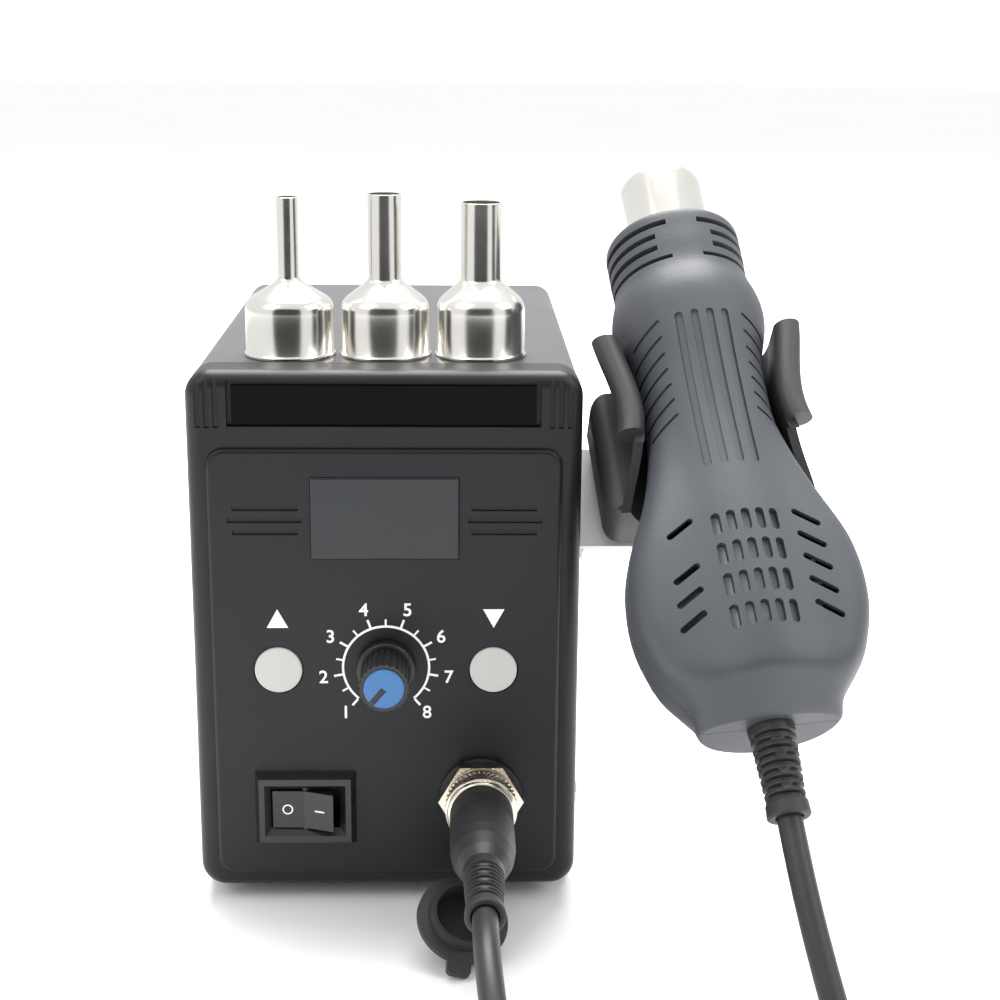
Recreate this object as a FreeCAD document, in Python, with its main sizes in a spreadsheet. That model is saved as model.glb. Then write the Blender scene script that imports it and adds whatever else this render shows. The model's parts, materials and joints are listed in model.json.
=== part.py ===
"""Hot air rework station: housing, controls, nozzles, blower handle in its holder, and cord.

Millimetres, +Z up, +Y towards the back. The origin is on the desk, under the centre of the housing.
The handle is modelled lying along its own -Y axis, with the rim of its tube at y = 0, and is then placed.
"""
import FreeCAD, Part
import math
import os
import re

import Sketcher
from FreeCAD import Placement, Rotation, Vector

SIZES = [
    ("body_width", 98), ("body_height", 138), ("body_depth", 150), ("foot_height", 3.5), ("foot_radius", 6),
    ("bezel_depth", 12.7), ("bezel_wall", 2.5), ("bezel_corner", 6.5), ("bezel_edge", 4),
    ("panel_half", 44), ("panel_low", 5), ("panel_high", 119), ("panel_rise", 1.4), ("panel_corner", 4.5),
    ("panel_bevel", 1.2), ("groove_width", 1.3), ("groove_depth", 0.6),
    ("cover_wall", 1), ("cover_inset", 0.5), ("cover_corner", 5), ("tray_wall", 1), ("tray_flange", 26),
    ("plate_half", 37.4), ("plate_low", 124.9), ("plate_high", 134.5), ("plate_thick", 1), ("pocket_depth", 1.6),
    ("pocket_border", 1.2), ("window_half", 18.4), ("window_low", 90.9), ("window_high", 111.9),
    ("window_thick", 2), ("window_proud", 0.5), ("window_ledge", 3),
    ("key_radius", 6), ("key_spread", 27.2), ("key_level", 61.6), ("key_gap", 0.35), ("key_travel", 0.8),
    ("key_proud", 0.5), ("key_flange", 7.2), ("board_gap", 6), ("board_thick", 1.6), ("switch_body", 3),
    ("dial_level", 62.3), ("skirt_radius", 7.4), ("skirt_height", 3), ("knob_radius", 6.15),
    ("knob_length", 14.5), ("knob_gap", 0.5), ("cap_radius", 5), ("cap_proud", 0.8), ("shaft_radius", 3),
    ("shaft_fit", 0.05), ("bush_radius", 3.5), ("rocker_place", -21), ("rocker_level", 24),
    ("frame_width", 26), ("frame_tall", 20), ("frame_face_width", 23.6), ("frame_face_tall", 17.5),
    ("frame_proud", 3), ("well_width", 17.6), ("well_tall", 10.8), ("rocker_gap", 0.35), ("rocker_swing", 22),
    ("pivot_radius", 1.2), ("pivot_fit", 0.05), ("socket_place", 24.2), ("socket_level", 27),
    ("socket_radius", 8), ("nut_flats", 19), ("nut_thick", 2.8), ("ring_radius", 9.1), ("ring_length", 7.2),
    ("run_gap", 0.3), ("plug_radius", 8), ("plug_length", 32), ("relief_length", 21), ("cord_radius", 3),
    ("strap_thick", 1.1), ("dust_radius", 11.5), ("nozzle_rim", 11.75), ("nozzle_bore", 11.2),
    ("nozzle_base", 11.3), ("nozzle_shoulder", 6.5), ("nozzle_stem", 22), ("nozzle_wall", 0.5),
    ("nozzle_row", -48.5), ("nozzle_pitch", 24.45), ("small_stem", 2.75), ("medium_stem", 4.3),
    ("large_stem", 5.2), ("tip_x", 73.1), ("tip_y", -9.9), ("tip_z", 180.2), ("handle_tilt", 46),
    ("handle_cant", 6.3), ("shell_wall", 2), ("tube_radius", 11), ("tube_wall", 0.5), ("collar_start", 20.4),
    ("handle_end", 158.5), ("bulge_radius", 28.3), ("barrel_radius", 19.8), ("neck_half", 16.1),
    ("blower_centre", 124.5), ("impeller_radius", 19), ("handle_relief_length", 22), ("seam_gap", 0.2),
    ("cradle_gap", 0.8), ("cradle_wall", 2.4), ("cradle_rise", 8), ("lip_radius", 3.4),
    ("bracket_thick", 1.5), ("coil_radius", 33), ("coil_x", 66), ("coil_y", -227), ("screw_radius", 1.5),
    ("board_level", 11), ("inlet_level", 30),
]

doc = FreeCAD.newDocument("hot_air_station")
sheet = doc.addObject("Spreadsheet::Sheet", "Sizes")
for row, (alias, number) in enumerate(SIZES, start=1):
    sheet.set(f"A{row}", alias.replace("_", " "))
    sheet.set(f"B{row}", str(number))
    sheet.setAlias(f"B{row}", alias)
doc.recompute()

ALIASES = {alias for alias, number in SIZES}
NODES = {}
OUTER_SCREWS = []

FRONT = "(-body_depth / 2)"
BACK = "(body_depth / 2)"
FLOOR = "foot_height"
TOP = "(foot_height + body_height)"
PANEL = "(-body_depth / 2 - panel_rise)"
FACE_BACK = "(-body_depth / 2 + bezel_wall)"
BEZEL_BACK = "(-body_depth / 2 + bezel_depth)"
SIDE = "(body_width / 2 - cover_inset)"
ROOF = "(foot_height + body_height - cover_inset)"
TRAY_TOP = "(foot_height + tray_wall)"
BOARD_FRONT = "(-body_depth / 2 + bezel_wall + board_gap)"
BOARD_BACK = "(-body_depth / 2 + bezel_wall + board_gap + board_thick)"
TURN = {"x": Rotation(Vector(0, 1, 0), 90), "y": Rotation(Vector(1, 0, 0), -90), "z": Rotation()}


def on_sheet(expression):
    """The expression with every sheet alias spelt in full."""
    return re.sub(r"[a-z]+(?:_[a-z]+)+", lambda found: "Sizes." + found.group(0), str(expression))


def bind(piece, prop, expression):
    piece.setExpression(prop, on_sheet(expression))


def size(expression):
    """The value of an expression over the sheet's sizes."""
    return float(sheet.evalExpression(on_sheet(expression)))


def node(name, piece):
    """Names a finished sub-part."""
    piece.Label = name
    NODES[name] = piece
    return piece


def box(name, across, along, up):
    """A block between pairs of expressions in x, y and z."""
    piece = doc.addObject("Part::Box", name)
    for prop, (low, high), axis in zip(("Length", "Width", "Height"), (across, along, up), "xyz"):
        bind(piece, prop, f"({high}) - ({low})")
        bind(piece, f"Placement.Base.{axis}", low)
    return piece


def rod(name, along, radius, low, high, first, second):
    """A cylinder along one axis from low to high, centred at first and second on the other two."""
    piece = doc.addObject("Part::Cylinder", name)
    piece.Placement = Placement(Vector(), TURN[along])
    bind(piece, "Radius", radius)
    bind(piece, "Height", f"({high}) - ({low})")
    others = [axis for axis in "xyz" if axis != along]
    for axis, value in zip([along] + others, (low, first, second)):
        bind(piece, f"Placement.Base.{axis}", value)
    return piece


def cut(name, base, tools):
    piece = doc.addObject("Part::Cut", name)
    piece.Base = base
    piece.Tool = tools[0] if len(tools) == 1 else fuse(name + "_tools", tools)
    return piece


def fuse(name, pieces):
    piece = doc.addObject("Part::MultiFuse", name)
    piece.Shapes = pieces
    return piece


def group(name, pieces):
    """Separate solids kept together in one sub-part."""
    piece = doc.addObject("Part::Compound", name)
    piece.Links = pieces
    return piece


def shaped(name, shape, place=None):
    """A sub-part whose shape is worked out in code."""
    piece = doc.addObject("Part::Feature", name)
    piece.Shape = shape
    if place:
        piece.Placement = place.multiply(shape.Placement)
    return piece


def rounded(name, base, radius, pick):
    """Fillets the edges of a piece that pick chooses."""
    doc.recompute()
    radius = size(radius)
    chosen = [i for i, edge in enumerate(base.Shape.Edges, start=1) if pick(edge)]
    piece = doc.addObject("Part::Fillet", name)
    piece.Base = base
    piece.Edges = [(i, radius, radius) for i in chosen]
    return piece


def runs_along(axis):
    """Chooses the straight edges that run along an axis."""
    def pick(edge):
        start, end = edge.Vertexes[0].Point, edge.Vertexes[-1].Point
        step = end - start
        others = [abs(step[i]) for i in range(3) if i != "xyz".index(axis)]
        return max(others) < 1e-6 and abs(step["xyz".index(axis)]) > 1e-6
    return pick


def lies_at(axis, expression):
    """Chooses the edges that lie wholly at one value of an axis."""
    level = size(expression)
    return lambda edge: all(abs(v.Point["xyz".index(axis)] - level) < 1e-6 for v in edge.Vertexes)


def turned(points, axis=Vector(0, 0, 1)):
    """A solid turned about Z from (radius, height) points, then swung so that Z becomes axis."""
    outline = [Vector(r, 0, h) for r, h in points]
    wire = Part.makePolygon(outline + outline[:1])
    solid = Part.Face(wire).revolve(Vector(), Vector(0, 0, 1), 360)
    solid.rotate(Vector(), *swing(axis))
    return solid


def swing(axis):
    """The rotation that takes +Z to an axis, as an axis and an angle in degrees."""
    turn = Rotation(Vector(0, 0, 1), axis)
    return turn.Axis, math.degrees(turn.Angle)


def plate(name, plane, across, up, thickness, at, holes=(), windows=()):
    """A PartDesign plate: a sketched rectangle with round holes and rectangular windows, padded."""
    body = doc.addObject("PartDesign::Body", name)
    sketch = body.newObject("Sketcher::SketchObject", name + "_outline")
    origin = [f for f in body.Origin.OriginFeatures if f.Role == plane + "_Plane"][0]
    sketch.AttachmentSupport = (origin, "")
    sketch.MapMode = "FlatFace"
    rectangle(sketch, "outer", "0", "0", across, up)
    for number, (left, bottom, right, top) in enumerate(windows):
        rectangle(sketch, f"window{number}", left, bottom, f"({right}) - ({left})", f"({top}) - ({bottom})")
    for number, (u, v, radius) in enumerate(holes):
        circle = sketch.addGeometry(Part.Circle(Vector(size(u), size(v), 0), Vector(0, 0, 1), size(radius)))
        constrain(sketch, f"hole{number}_u", "DistanceX", (-1, 1, circle, 3), u)
        constrain(sketch, f"hole{number}_v", "DistanceY", (-1, 1, circle, 3), v)
        constrain(sketch, f"hole{number}_r", "Radius", (circle,), radius)
    pad = body.newObject("PartDesign::Pad", name + "_pad")
    pad.Profile = sketch
    bind(pad, "Length", thickness)
    pad.Reversed = plane == "XZ"
    sketch.Visibility = False
    for axis, value in zip("xyz", at):
        bind(body, f"Placement.Base.{axis}", value)
    return body


def constrain(sketch, name, kind, what, expression):
    index = sketch.addConstraint(Sketcher.Constraint(kind, *what, size(expression)))
    sketch.renameConstraint(index, name)
    bind(sketch, f"Constraints.{name}", expression)


def rectangle(sketch, name, left, bottom, across, up):
    """A rectangle in a sketch, placed from the sketch's origin."""
    x, y = size(left), size(bottom)
    w, h = size(across), size(up)
    corners = [Vector(x, y, 0), Vector(x + w, y, 0), Vector(x + w, y + h, 0), Vector(x, y + h, 0)]
    lines = [sketch.addGeometry(Part.LineSegment(corners[i], corners[(i + 1) % 4])) for i in range(4)]
    for i in range(4):
        sketch.addConstraint(Sketcher.Constraint("Coincident", lines[i], 2, lines[(i + 1) % 4], 1))
        sketch.addConstraint(Sketcher.Constraint("Horizontal" if i % 2 == 0 else "Vertical", lines[i]))
    if x == 0 and y == 0:
        sketch.addConstraint(Sketcher.Constraint("Coincident", lines[0], 1, -1, 1))
    else:
        constrain(sketch, name + "_left", "DistanceX", (-1, 1, lines[0], 1), left)
        constrain(sketch, name + "_bottom", "DistanceY", (-1, 1, lines[0], 1), bottom)
    constrain(sketch, name + "_across", "DistanceX", (lines[0], 1, lines[0], 2), across)
    constrain(sketch, name + "_up", "DistanceY", (lines[1], 1, lines[1], 2), up)


# Housing

FRAME_SCREWS = [(x, z) for x in ("-(panel_half - 2)", "(panel_half - 2)")
                for z in ("(foot_height + 9)", "(foot_height + body_height - 8.5)")]
BOARD_SCREWS = [(x, z) for x in ("-(panel_half - 8)", "(panel_half - 8)")
                for z in ("(foot_height + 48)", "(foot_height + panel_high - 6)")]
COVER_SCREWS = [("(-body_depth / 2 + bezel_depth + 4)", "(foot_height + 20)"),
                ("(body_depth / 2 - 15)", "(foot_height + 20)")]
KEYS = {"up": "-key_spread", "down": "key_spread"}
KEY_Z = "(foot_height + key_level)"
DIAL_Z = "(foot_height + dial_level)"
ROCKER_Z = "(foot_height + rocker_level)"
SOCKET_Z = "(foot_height + socket_level)"


def front_bezel():
    """Moulded face: a hollow tray with a raised control panel, pockets, grooves, openings and bosses."""
    block = box("bezel_block", ("-body_width / 2", "body_width / 2"), (FRONT, BEZEL_BACK), (FLOOR, TOP))
    block = rounded("bezel_corners", block, "bezel_corner", runs_along("y"))
    block = rounded("bezel_edges", block, "bezel_edge", lies_at("y", FRONT))
    low, high = "(foot_height + panel_low)", "(foot_height + panel_high)"
    panel = box("panel_block", ("-panel_half", "panel_half"), (PANEL, FACE_BACK), (low, high))
    panel = rounded("panel_corners", panel, "panel_corner", runs_along("y"))
    panel = rounded("panel_edges", panel, "panel_bevel", lies_at("y", PANEL))
    inner = "(body_width / 2 - bezel_wall)"
    hollow = box("bezel_hollow", (f"-{inner}", inner), (FACE_BACK, BEZEL_BACK),
                 (f"{FLOOR} + bezel_wall", f"{TOP} - bezel_wall"))
    hollow = rounded("bezel_hollow_corners", hollow, "bezel_corner - bezel_wall", runs_along("y"))
    pocket = box("plate_pocket", ("-plate_half - pocket_border", "plate_half + pocket_border"),
                 (FRONT, f"{FRONT} + pocket_depth"),
                 (f"{FLOOR} + plate_low - pocket_border / 2", f"{FLOOR} + plate_high + pocket_border"))
    cuts = [hollow, pocket]
    for side in (-1, 1):
        for number, place in enumerate((41.3, 43.5, 45.7)):
            x = side * place
            cuts.append(box(f"flute{side + 1}{number}", (f"{x} - groove_width / 2", f"{x} + groove_width / 2"),
                            (f"{FRONT} - 1", f"{FRONT} + groove_depth"),
                            (f"{FLOOR} + panel_high + 5", f"{TOP} - 1.3")))
        for number, (near, far, rise) in enumerate(((3.1, 19.4, 3.1), (2.2, 20.7, 0), (3.1, 19.4, -3.1))):
            ends = sorted((side * (size("window_half") + near), side * (size("window_half") + far)))
            middle = f"{FLOOR} + (window_low + window_high) / 2 + {rise - 0.5}"
            cuts.append(box(f"side_groove{side + 1}{number}", ends, (f"{PANEL} - 1", f"{PANEL} + groove_depth"),
                            (f"{middle} - groove_width / 2", f"{middle} + groove_width / 2")))
    cuts.append(box("window_seat", ("-window_half - 0.1", "window_half + 0.1"),
                    (f"{PANEL} - 1", f"{PANEL} - window_proud + window_thick"),
                    (f"{FLOOR} + window_low - 0.1", f"{FLOOR} + window_high + 0.1")))
    cuts.append(box("window_opening", ("-window_half + window_ledge", "window_half - window_ledge"),
                    (PANEL, FACE_BACK),
                    (f"{FLOOR} + window_low + window_ledge", f"{FLOOR} + window_high - window_ledge")))
    for name, x in KEYS.items():
        cuts.append(rod(f"{name}_hole", "y", "key_radius + key_gap", f"{PANEL} - 1", FACE_BACK, x, KEY_Z))
    cuts.append(rod("bush_hole", "y", "bush_radius + 0.1", f"{PANEL} - 1", FACE_BACK, "0", DIAL_Z))
    cuts.append(box("rocker_hole", ("rocker_place - well_width / 2 - 1", "rocker_place + well_width / 2 + 1"),
                    (f"{PANEL} - 1", FACE_BACK),
                    (f"{ROCKER_Z} - well_tall / 2 - 1", f"{ROCKER_Z} + well_tall / 2 + 1")))
    cuts.append(rod("socket_hole", "y", "socket_radius + 0.1", f"{PANEL} - 1", FACE_BACK, "socket_place",
                    SOCKET_Z))
    bosses = []
    pilots = []
    for number, (x, z) in enumerate(FRAME_SCREWS):
        bosses.append(rod(f"frame_boss{number}", "y", "3.2", FACE_BACK, BEZEL_BACK, x, z))
        pilots.append(rod(f"frame_pilot{number}", "y", "screw_radius", f"{BEZEL_BACK} - 8", f"{BEZEL_BACK} + 1",
                          x, z))
    for number, (x, z) in enumerate(BOARD_SCREWS):
        bosses.append(rod(f"board_boss{number}", "y", "2.8", FACE_BACK, BOARD_FRONT, x, z))
        pilots.append(rod(f"board_pilot{number}", "y", "screw_radius", f"{BOARD_FRONT} - 5",
                          f"{BOARD_FRONT} + 1", x, z))
    shell = cut("bezel_shell", fuse("bezel_solid", [block, panel]), cuts)
    node("front_bezel", cut("bezel", fuse("bezel_with_bosses", [shell] + bosses), pilots))


def cover():
    """Folded steel cover: roof and two sides, with holes for its screws and the holder."""
    block = box("cover_block", (f"-{SIDE}", SIDE), (BEZEL_BACK, BACK), (FLOOR, ROOF))
    top = rounded("cover_outer", block, "cover_corner", lambda edge: runs_along("y")(edge)
                  and edge.Vertexes[0].Z > size(ROOF) - 1e-6)
    block = box("cover_space", (f"-{SIDE} + cover_wall", f"{SIDE} - cover_wall"), (BEZEL_BACK, BACK),
                ("0", f"{ROOF} - cover_wall"))
    space = rounded("cover_inner", block, "cover_corner - cover_wall", lambda edge: runs_along("y")(edge)
                    and edge.Vertexes[0].Z > 1)
    cuts = [space]
    for number, (y, z) in enumerate(COVER_SCREWS):
        cuts.append(rod(f"cover_hole{number}", "x", "screw_radius + 0.1", f"-{SIDE} - 1", f"{SIDE} + 1", y, z))
    for number, place in enumerate(bracket_bolts()):
        cuts.append(shaped(f"holder_hole{number}",
                           Part.makeCylinder(size("screw_radius") + 0.1, 10, place - Vector(5, 0, 0),
                                             Vector(1, 0, 0))))
    node("cover", cut("cover_sheet", top, cuts))


def base_tray():
    """Steel bottom with two upturned sides that take the cover's screws."""
    inner = f"({SIDE} - cover_wall - 0.1)"
    floor = plate("tray_floor", "XY", f"2 * {inner}", "body_depth - bezel_depth", "tray_wall",
                  (f"-{inner}", BEZEL_BACK, FLOOR))
    sides = [box("tray_left", (f"-{inner}", f"-{inner} + tray_wall"), (BEZEL_BACK, BACK),
                 (FLOOR, f"{FLOOR} + tray_flange")),
             box("tray_right", (f"{inner} - tray_wall", inner), (BEZEL_BACK, BACK),
                 (FLOOR, f"{FLOOR} + tray_flange"))]
    cuts = [rod(f"tray_hole{number}", "x", "screw_radius", f"-{SIDE}", SIDE, y, z)
            for number, (y, z) in enumerate(COVER_SCREWS)]
    node("base_tray", cut("tray", fuse("tray_bent", [floor] + sides), cuts))


def front_frame():
    """Steel plate behind the bezel, screwed to its bosses, with a window for the board and the switch."""
    half = f"({SIDE} - cover_wall - tray_wall - 0.3)"
    tall = f"({ROOF} - cover_corner - {TRAY_TOP})"
    holes = [(f"{x} + {half}", f"{z} - {TRAY_TOP}", "screw_radius + 0.1") for x, z in FRAME_SCREWS]
    windows = [("8", "12", f"2 * {half} - 8", f"{tall} - 12")]
    frame = plate("front_frame_plate", "XZ", f"2 * {half}", tall, "tray_wall",
                  (f"-{half}", BEZEL_BACK, TRAY_TOP), holes, windows)
    node("front_frame", frame)


def rear_panel():
    """Back plate with the mains inlet's opening and two rows of vent slots."""
    half = f"({SIDE} - cover_wall - tray_wall - 0.1)"
    tall = f"({ROOF} - cover_wall - {TRAY_TOP} - 0.1)"
    inlet = f"(inlet_level - {TRAY_TOP})"
    windows = [(f"{half} - 14", f"{inlet} - 10.2", f"{half} + 14", f"{inlet} + 10.2")]
    for row in range(2):
        for column in range(9):
            left = f"({half} + {-34 + 8 * column})"
            bottom = 66 + 26 * row
            windows.append((left, f"{bottom}", f"{left} + 4", f"{bottom + 18}"))
    holes = [(f"{half} + {x}", inlet, "screw_radius + 0.1") for x in (-20, 20)]
    panel = plate("rear_plate", "XZ", f"2 * {half}", tall, "1.2", (f"-{half}", f"{BACK} - 1.2", TRAY_TOP), holes,
                  windows)
    node("rear_panel", rounded("rear_plate_round", panel, "cover_corner - cover_wall - 0.3", lambda edge:
                               runs_along("y")(edge) and edge.Vertexes[0].Z > size(ROOF) - 3))


def feet_and_cover_screws():
    feet = []
    for number, (x, y) in enumerate(((-1, -1), (1, -1), (-1, 1), (1, 1))):
        foot = doc.addObject("Part::Cone", f"foot{number}")
        bind(foot, "Radius1", "foot_radius - 0.8")
        bind(foot, "Radius2", "foot_radius")
        bind(foot, "Height", "foot_height")
        bind(foot, "Placement.Base.x", f"{x} * (body_width / 2 - 13)")
        bind(foot, "Placement.Base.y", f"{y} * (body_depth / 2 - 20)")
        feet.append(foot)
    node("feet", group("foot_set", feet))
    for side in (-1, 1):
        for number, (y, z) in enumerate(COVER_SCREWS):
            ends = sorted((side * size(SIDE), side * (size(SIDE) + 2)))
            head = rod(f"cover_screw_head{side + 1}{number}", "x", "3.2", *ends, y, z)
            head = rounded(f"cover_screw_dome{side + 1}{number}", head, "1.4",
                           lies_at("x", str(side * (size(SIDE) + 2))))
            ends = sorted((side * size(SIDE), side * (size(SIDE) - 6)))
            shank = rod(f"cover_screw_shank{side + 1}{number}", "x", "screw_radius", *ends, y, z)
            OUTER_SCREWS.append(fuse(f"cover_screw{side + 1}{number}", [head, shank]))


# Front controls

def labels_and_window():
    node("name_plate", box("plate_strip", ("-plate_half", "plate_half"),
                           (f"{FRONT} + pocket_depth - plate_thick", f"{FRONT} + pocket_depth"),
                           (f"{FLOOR} + plate_low", f"{FLOOR} + plate_high")))
    lens = box("lens_block", ("-window_half", "window_half"),
               (f"{PANEL} - window_proud", f"{PANEL} - window_proud + window_thick"),
               (f"{FLOOR} + window_low", f"{FLOOR} + window_high"))
    node("display_window", rounded("lens", lens, "window_proud * 0.9", lies_at("y", f"{PANEL} - window_proud")))
    node("display_module", box("display_block", ("-window_half - 1", "window_half + 1"),
                               (f"{FACE_BACK} + 0.3", BOARD_FRONT),
                               (f"{FLOOR} + window_low - 1", f"{FLOOR} + window_high + 1")))


def keys():
    """Two round push keys, each with a flange behind the face, over a small switch on the board."""
    switches = []
    for name, x in KEYS.items():
        cap = rod(f"{name}_cap", "y", "key_radius", f"{PANEL} - key_proud", f"{FACE_BACK} + 0.3", x, KEY_Z)
        cap = rounded(f"{name}_cap_edge", cap, "0.4", lies_at("y", f"{PANEL} - key_proud"))
        flange = rod(f"{name}_flange", "y", "key_flange", f"{FACE_BACK} + 0.3", f"{FACE_BACK} + 1.1", x, KEY_Z)
        node(f"{name}_button", fuse(f"{name}_key", [cap, flange]))
        body = box(f"{name}_switch_body", (f"{x} - 3", f"{x} + 3"), (f"{BOARD_FRONT} - switch_body", BOARD_FRONT),
                   (f"{KEY_Z} - 3", f"{KEY_Z} + 3"))
        stem = rod(f"{name}_switch_stem", "y", "1.7", f"{FACE_BACK} + 1.1 + key_travel + 0.3",
                   f"{BOARD_FRONT} - switch_body", x, KEY_Z)
        switches.append(fuse(f"{name}_switch", [body, stem]))
    node("tact_switches", group("tact_switch_pair", switches))


def control_board():
    half = "(panel_half - 3)"
    bottom = f"({FLOOR} + 43)"
    tall = f"({FLOOR} + panel_high - {bottom} - 0.5)"
    holes = [(f"{x} + {half}", f"{z} - {bottom}", "screw_radius + 0.1") for x, z in BOARD_SCREWS]
    node("control_board", plate("control_plate", "XZ", f"2 * {half}", tall, "board_thick",
                                (f"-{half}", BOARD_FRONT, bottom), holes))
    screws = []
    for name, spots, under in (("board", BOARD_SCREWS, BOARD_BACK),
                               ("frame", FRAME_SCREWS, f"({BEZEL_BACK} + tray_wall)")):
        for number, (x, z) in enumerate(spots):
            head = rod(f"{name}_screw_head{number}", "y", "2.6", under, f"{under} + 1.8", x, z)
            shank = rod(f"{name}_screw_shank{number}", "y", "screw_radius - 0.02", f"{under} - 6", under, x, z)
            screws.append(fuse(f"{name}_screw{number}", [head, shank]))
    node("bezel_screws", group("bezel_screw_set", screws))


def air_dial():
    """Air control: a potentiometer through the face, its nut, its shaft, a fluted knob and a marked cap."""
    bush_front = f"({PANEL} - 2.2)"
    body = rod("pot_can", "y", "skirt_radius", f"{FACE_BACK} + 0.3", BOARD_FRONT, "0", DIAL_Z)
    bush = rod("pot_bush", "y", "bush_radius", bush_front, f"{FACE_BACK} + 0.3", "0", DIAL_Z)
    bore = rod("pot_bore", "y", "shaft_radius + shaft_fit", bush_front, f"{BOARD_FRONT} - 2.6", "0", DIAL_Z)
    node("pot_body", cut("pot", fuse("pot_solid", [body, bush]), [bore]))
    nut = hexagon("pot_hexagon", "9", "1.8", f"{PANEL} - 1.8", "0", DIAL_Z)
    node("pot_nut", cut("pot_nut_ring", nut, [rod("pot_nut_bore", "y", "bush_radius + 0.05", f"{PANEL} - 3",
                                                  PANEL, "0", DIAL_Z)]))
    base = f"({PANEL} - knob_gap)"
    tip = f"({PANEL} - knob_gap - knob_length)"
    node("pot_shaft", rod("shaft", "y", "shaft_radius", f"{tip} + 3.4", f"{BOARD_FRONT} - 3", "0", DIAL_Z))
    skirt = rod("knob_skirt", "y", "skirt_radius", f"{base} - skirt_height", base, "0", DIAL_Z)
    skirt = rounded("knob_skirt_edge", skirt, "0.8", lies_at("y", f"{base} - skirt_height"))
    grip = rod("knob_grip", "y", "knob_radius", tip, f"{base} - skirt_height + 1", "0", DIAL_Z)
    flutes = []
    for number in range(24):
        turn = math.radians(15 * number)
        flutes.append(rod(f"knob_flute{number}", "y", "0.45", f"{tip} - 1", f"{base} - skirt_height",
                          f"{math.sin(turn)} * (knob_radius + 0.15)",
                          f"{DIAL_Z} + {math.cos(turn)} * (knob_radius + 0.15)"))
    recess = rod("knob_recess", "y", "knob_radius - 0.4", f"{base} - 2.6", f"{base} + 1", "0", DIAL_Z)
    bore = rod("knob_bore", "y", "shaft_radius", f"{tip} + 3.4", base, "0", DIAL_Z)
    seat = rod("cap_seat", "y", "cap_radius + 0.03", f"{tip} - 1", f"{tip} + 1.5", "0", DIAL_Z)
    node("air_knob", cut("knob", fuse("knob_solid", [skirt, grip]), flutes + [recess, bore, seat]))
    cap = rod("cap_disc", "y", "cap_radius", f"{tip} - cap_proud", f"{tip} + 1.5", "0", DIAL_Z)
    cap = rounded("cap_disc_edge", cap, "0.4", lies_at("y", f"{tip} - cap_proud"))
    doc.recompute()
    slot = Part.makeBox(1.5, 0.8, size("cap_radius") + 1, Vector(-0.75, size(f"{tip} - cap_proud") - 0.1, 0))
    slot.rotate(Vector(), Vector(0, 1, 0), -140)
    slot.translate(Vector(0, 0, size(DIAL_Z)))
    node("knob_cap", cut("cap", cap, [shaped("cap_slot", slot)]))


def hexagon(name, flats, thickness, low, x, z):
    """A hexagonal nut blank along Y, sized across its flats."""
    piece = doc.addObject("Part::Prism", name)
    piece.Polygon = 6
    piece.Placement = Placement(Vector(), TURN["y"])
    bind(piece, "Circumradius", f"({flats}) / sqrt(3)")
    bind(piece, "Height", thickness)
    for axis, value in zip("xyz", (x, low, z)):
        bind(piece, f"Placement.Base.{axis}", value)
    return piece


def rocker_switch():
    """Snap-in power switch: a sloped frame, its body behind the face, and a rocker on two stub pivots."""
    x, z = size("rocker_place"), size(ROCKER_Z)
    panel, face = size(PANEL), size(f"{PANEL} - frame_proud")

    def rectangle_at(width, tall, y):
        corners = [Vector(x + u * width / 2, y, z + v * tall / 2) for u, v in ((-1, -1), (1, -1), (1, 1), (-1, 1))]
        return Part.makePolygon(corners + corners[:1])

    rim = Part.makeLoft([rectangle_at(size("frame_width"), size("frame_tall"), panel),
                         rectangle_at(size("frame_face_width"), size("frame_face_tall"), face)], True, True)
    well_width, well_tall = size("well_width"), size("well_tall")
    behind = size(FACE_BACK) + 8
    body = Part.makeBox(well_width + 1.8, behind - panel, well_tall + 1.8,
                        Vector(x - well_width / 2 - 0.9, panel, z - well_tall / 2 - 0.9))
    well = Part.makeBox(well_width, behind - face, well_tall, Vector(x - well_width / 2, face - 1, z - well_tall / 2))
    funnel = Part.makeLoft([rectangle_at(well_width + 3.2, well_tall + 3.2, face - 0.01),
                            rectangle_at(well_width, well_tall, face + 1.8)], True, True)
    pivot_y = face + 2.6
    reach = well_tall / 2 + 0.7
    fit = size("pivot_radius") + size("pivot_fit")
    bearing = Part.makeCylinder(fit, 2 * reach, Vector(x, pivot_y, z - reach))
    frame = rim.fuse(body).cut(well).cut(funnel).cut(bearing)
    node("switch_frame", shaped("switch_housing", frame))
    half = well_width / 2 - 0.8
    outline = [(-half, -2.9), (0, -1.5), (half, -2.9), (half * 0.9, 0.6), (5, 3.2), (-5, 3.2), (-half * 0.9, 0.6)]
    flat = [Vector(u, v, -well_tall / 2 + size("rocker_gap")) for u, v in outline]
    paddle = Part.Face(Part.makePolygon(flat + flat[:1])).extrude(Vector(0, 0, well_tall - 2 * size("rocker_gap")))
    stubs = Part.makeCylinder(size("pivot_radius"), 2 * reach - 0.3, Vector(0, 0, 0.15 - reach))
    paddle = paddle.fuse(stubs)
    paddle.rotate(Vector(), Vector(0, 0, 1), -size("rocker_swing") / 2)
    paddle.translate(Vector(x, pivot_y, z))
    node("rocker", shaped("rocker_paddle", paddle))


# Outlet and plug

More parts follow.
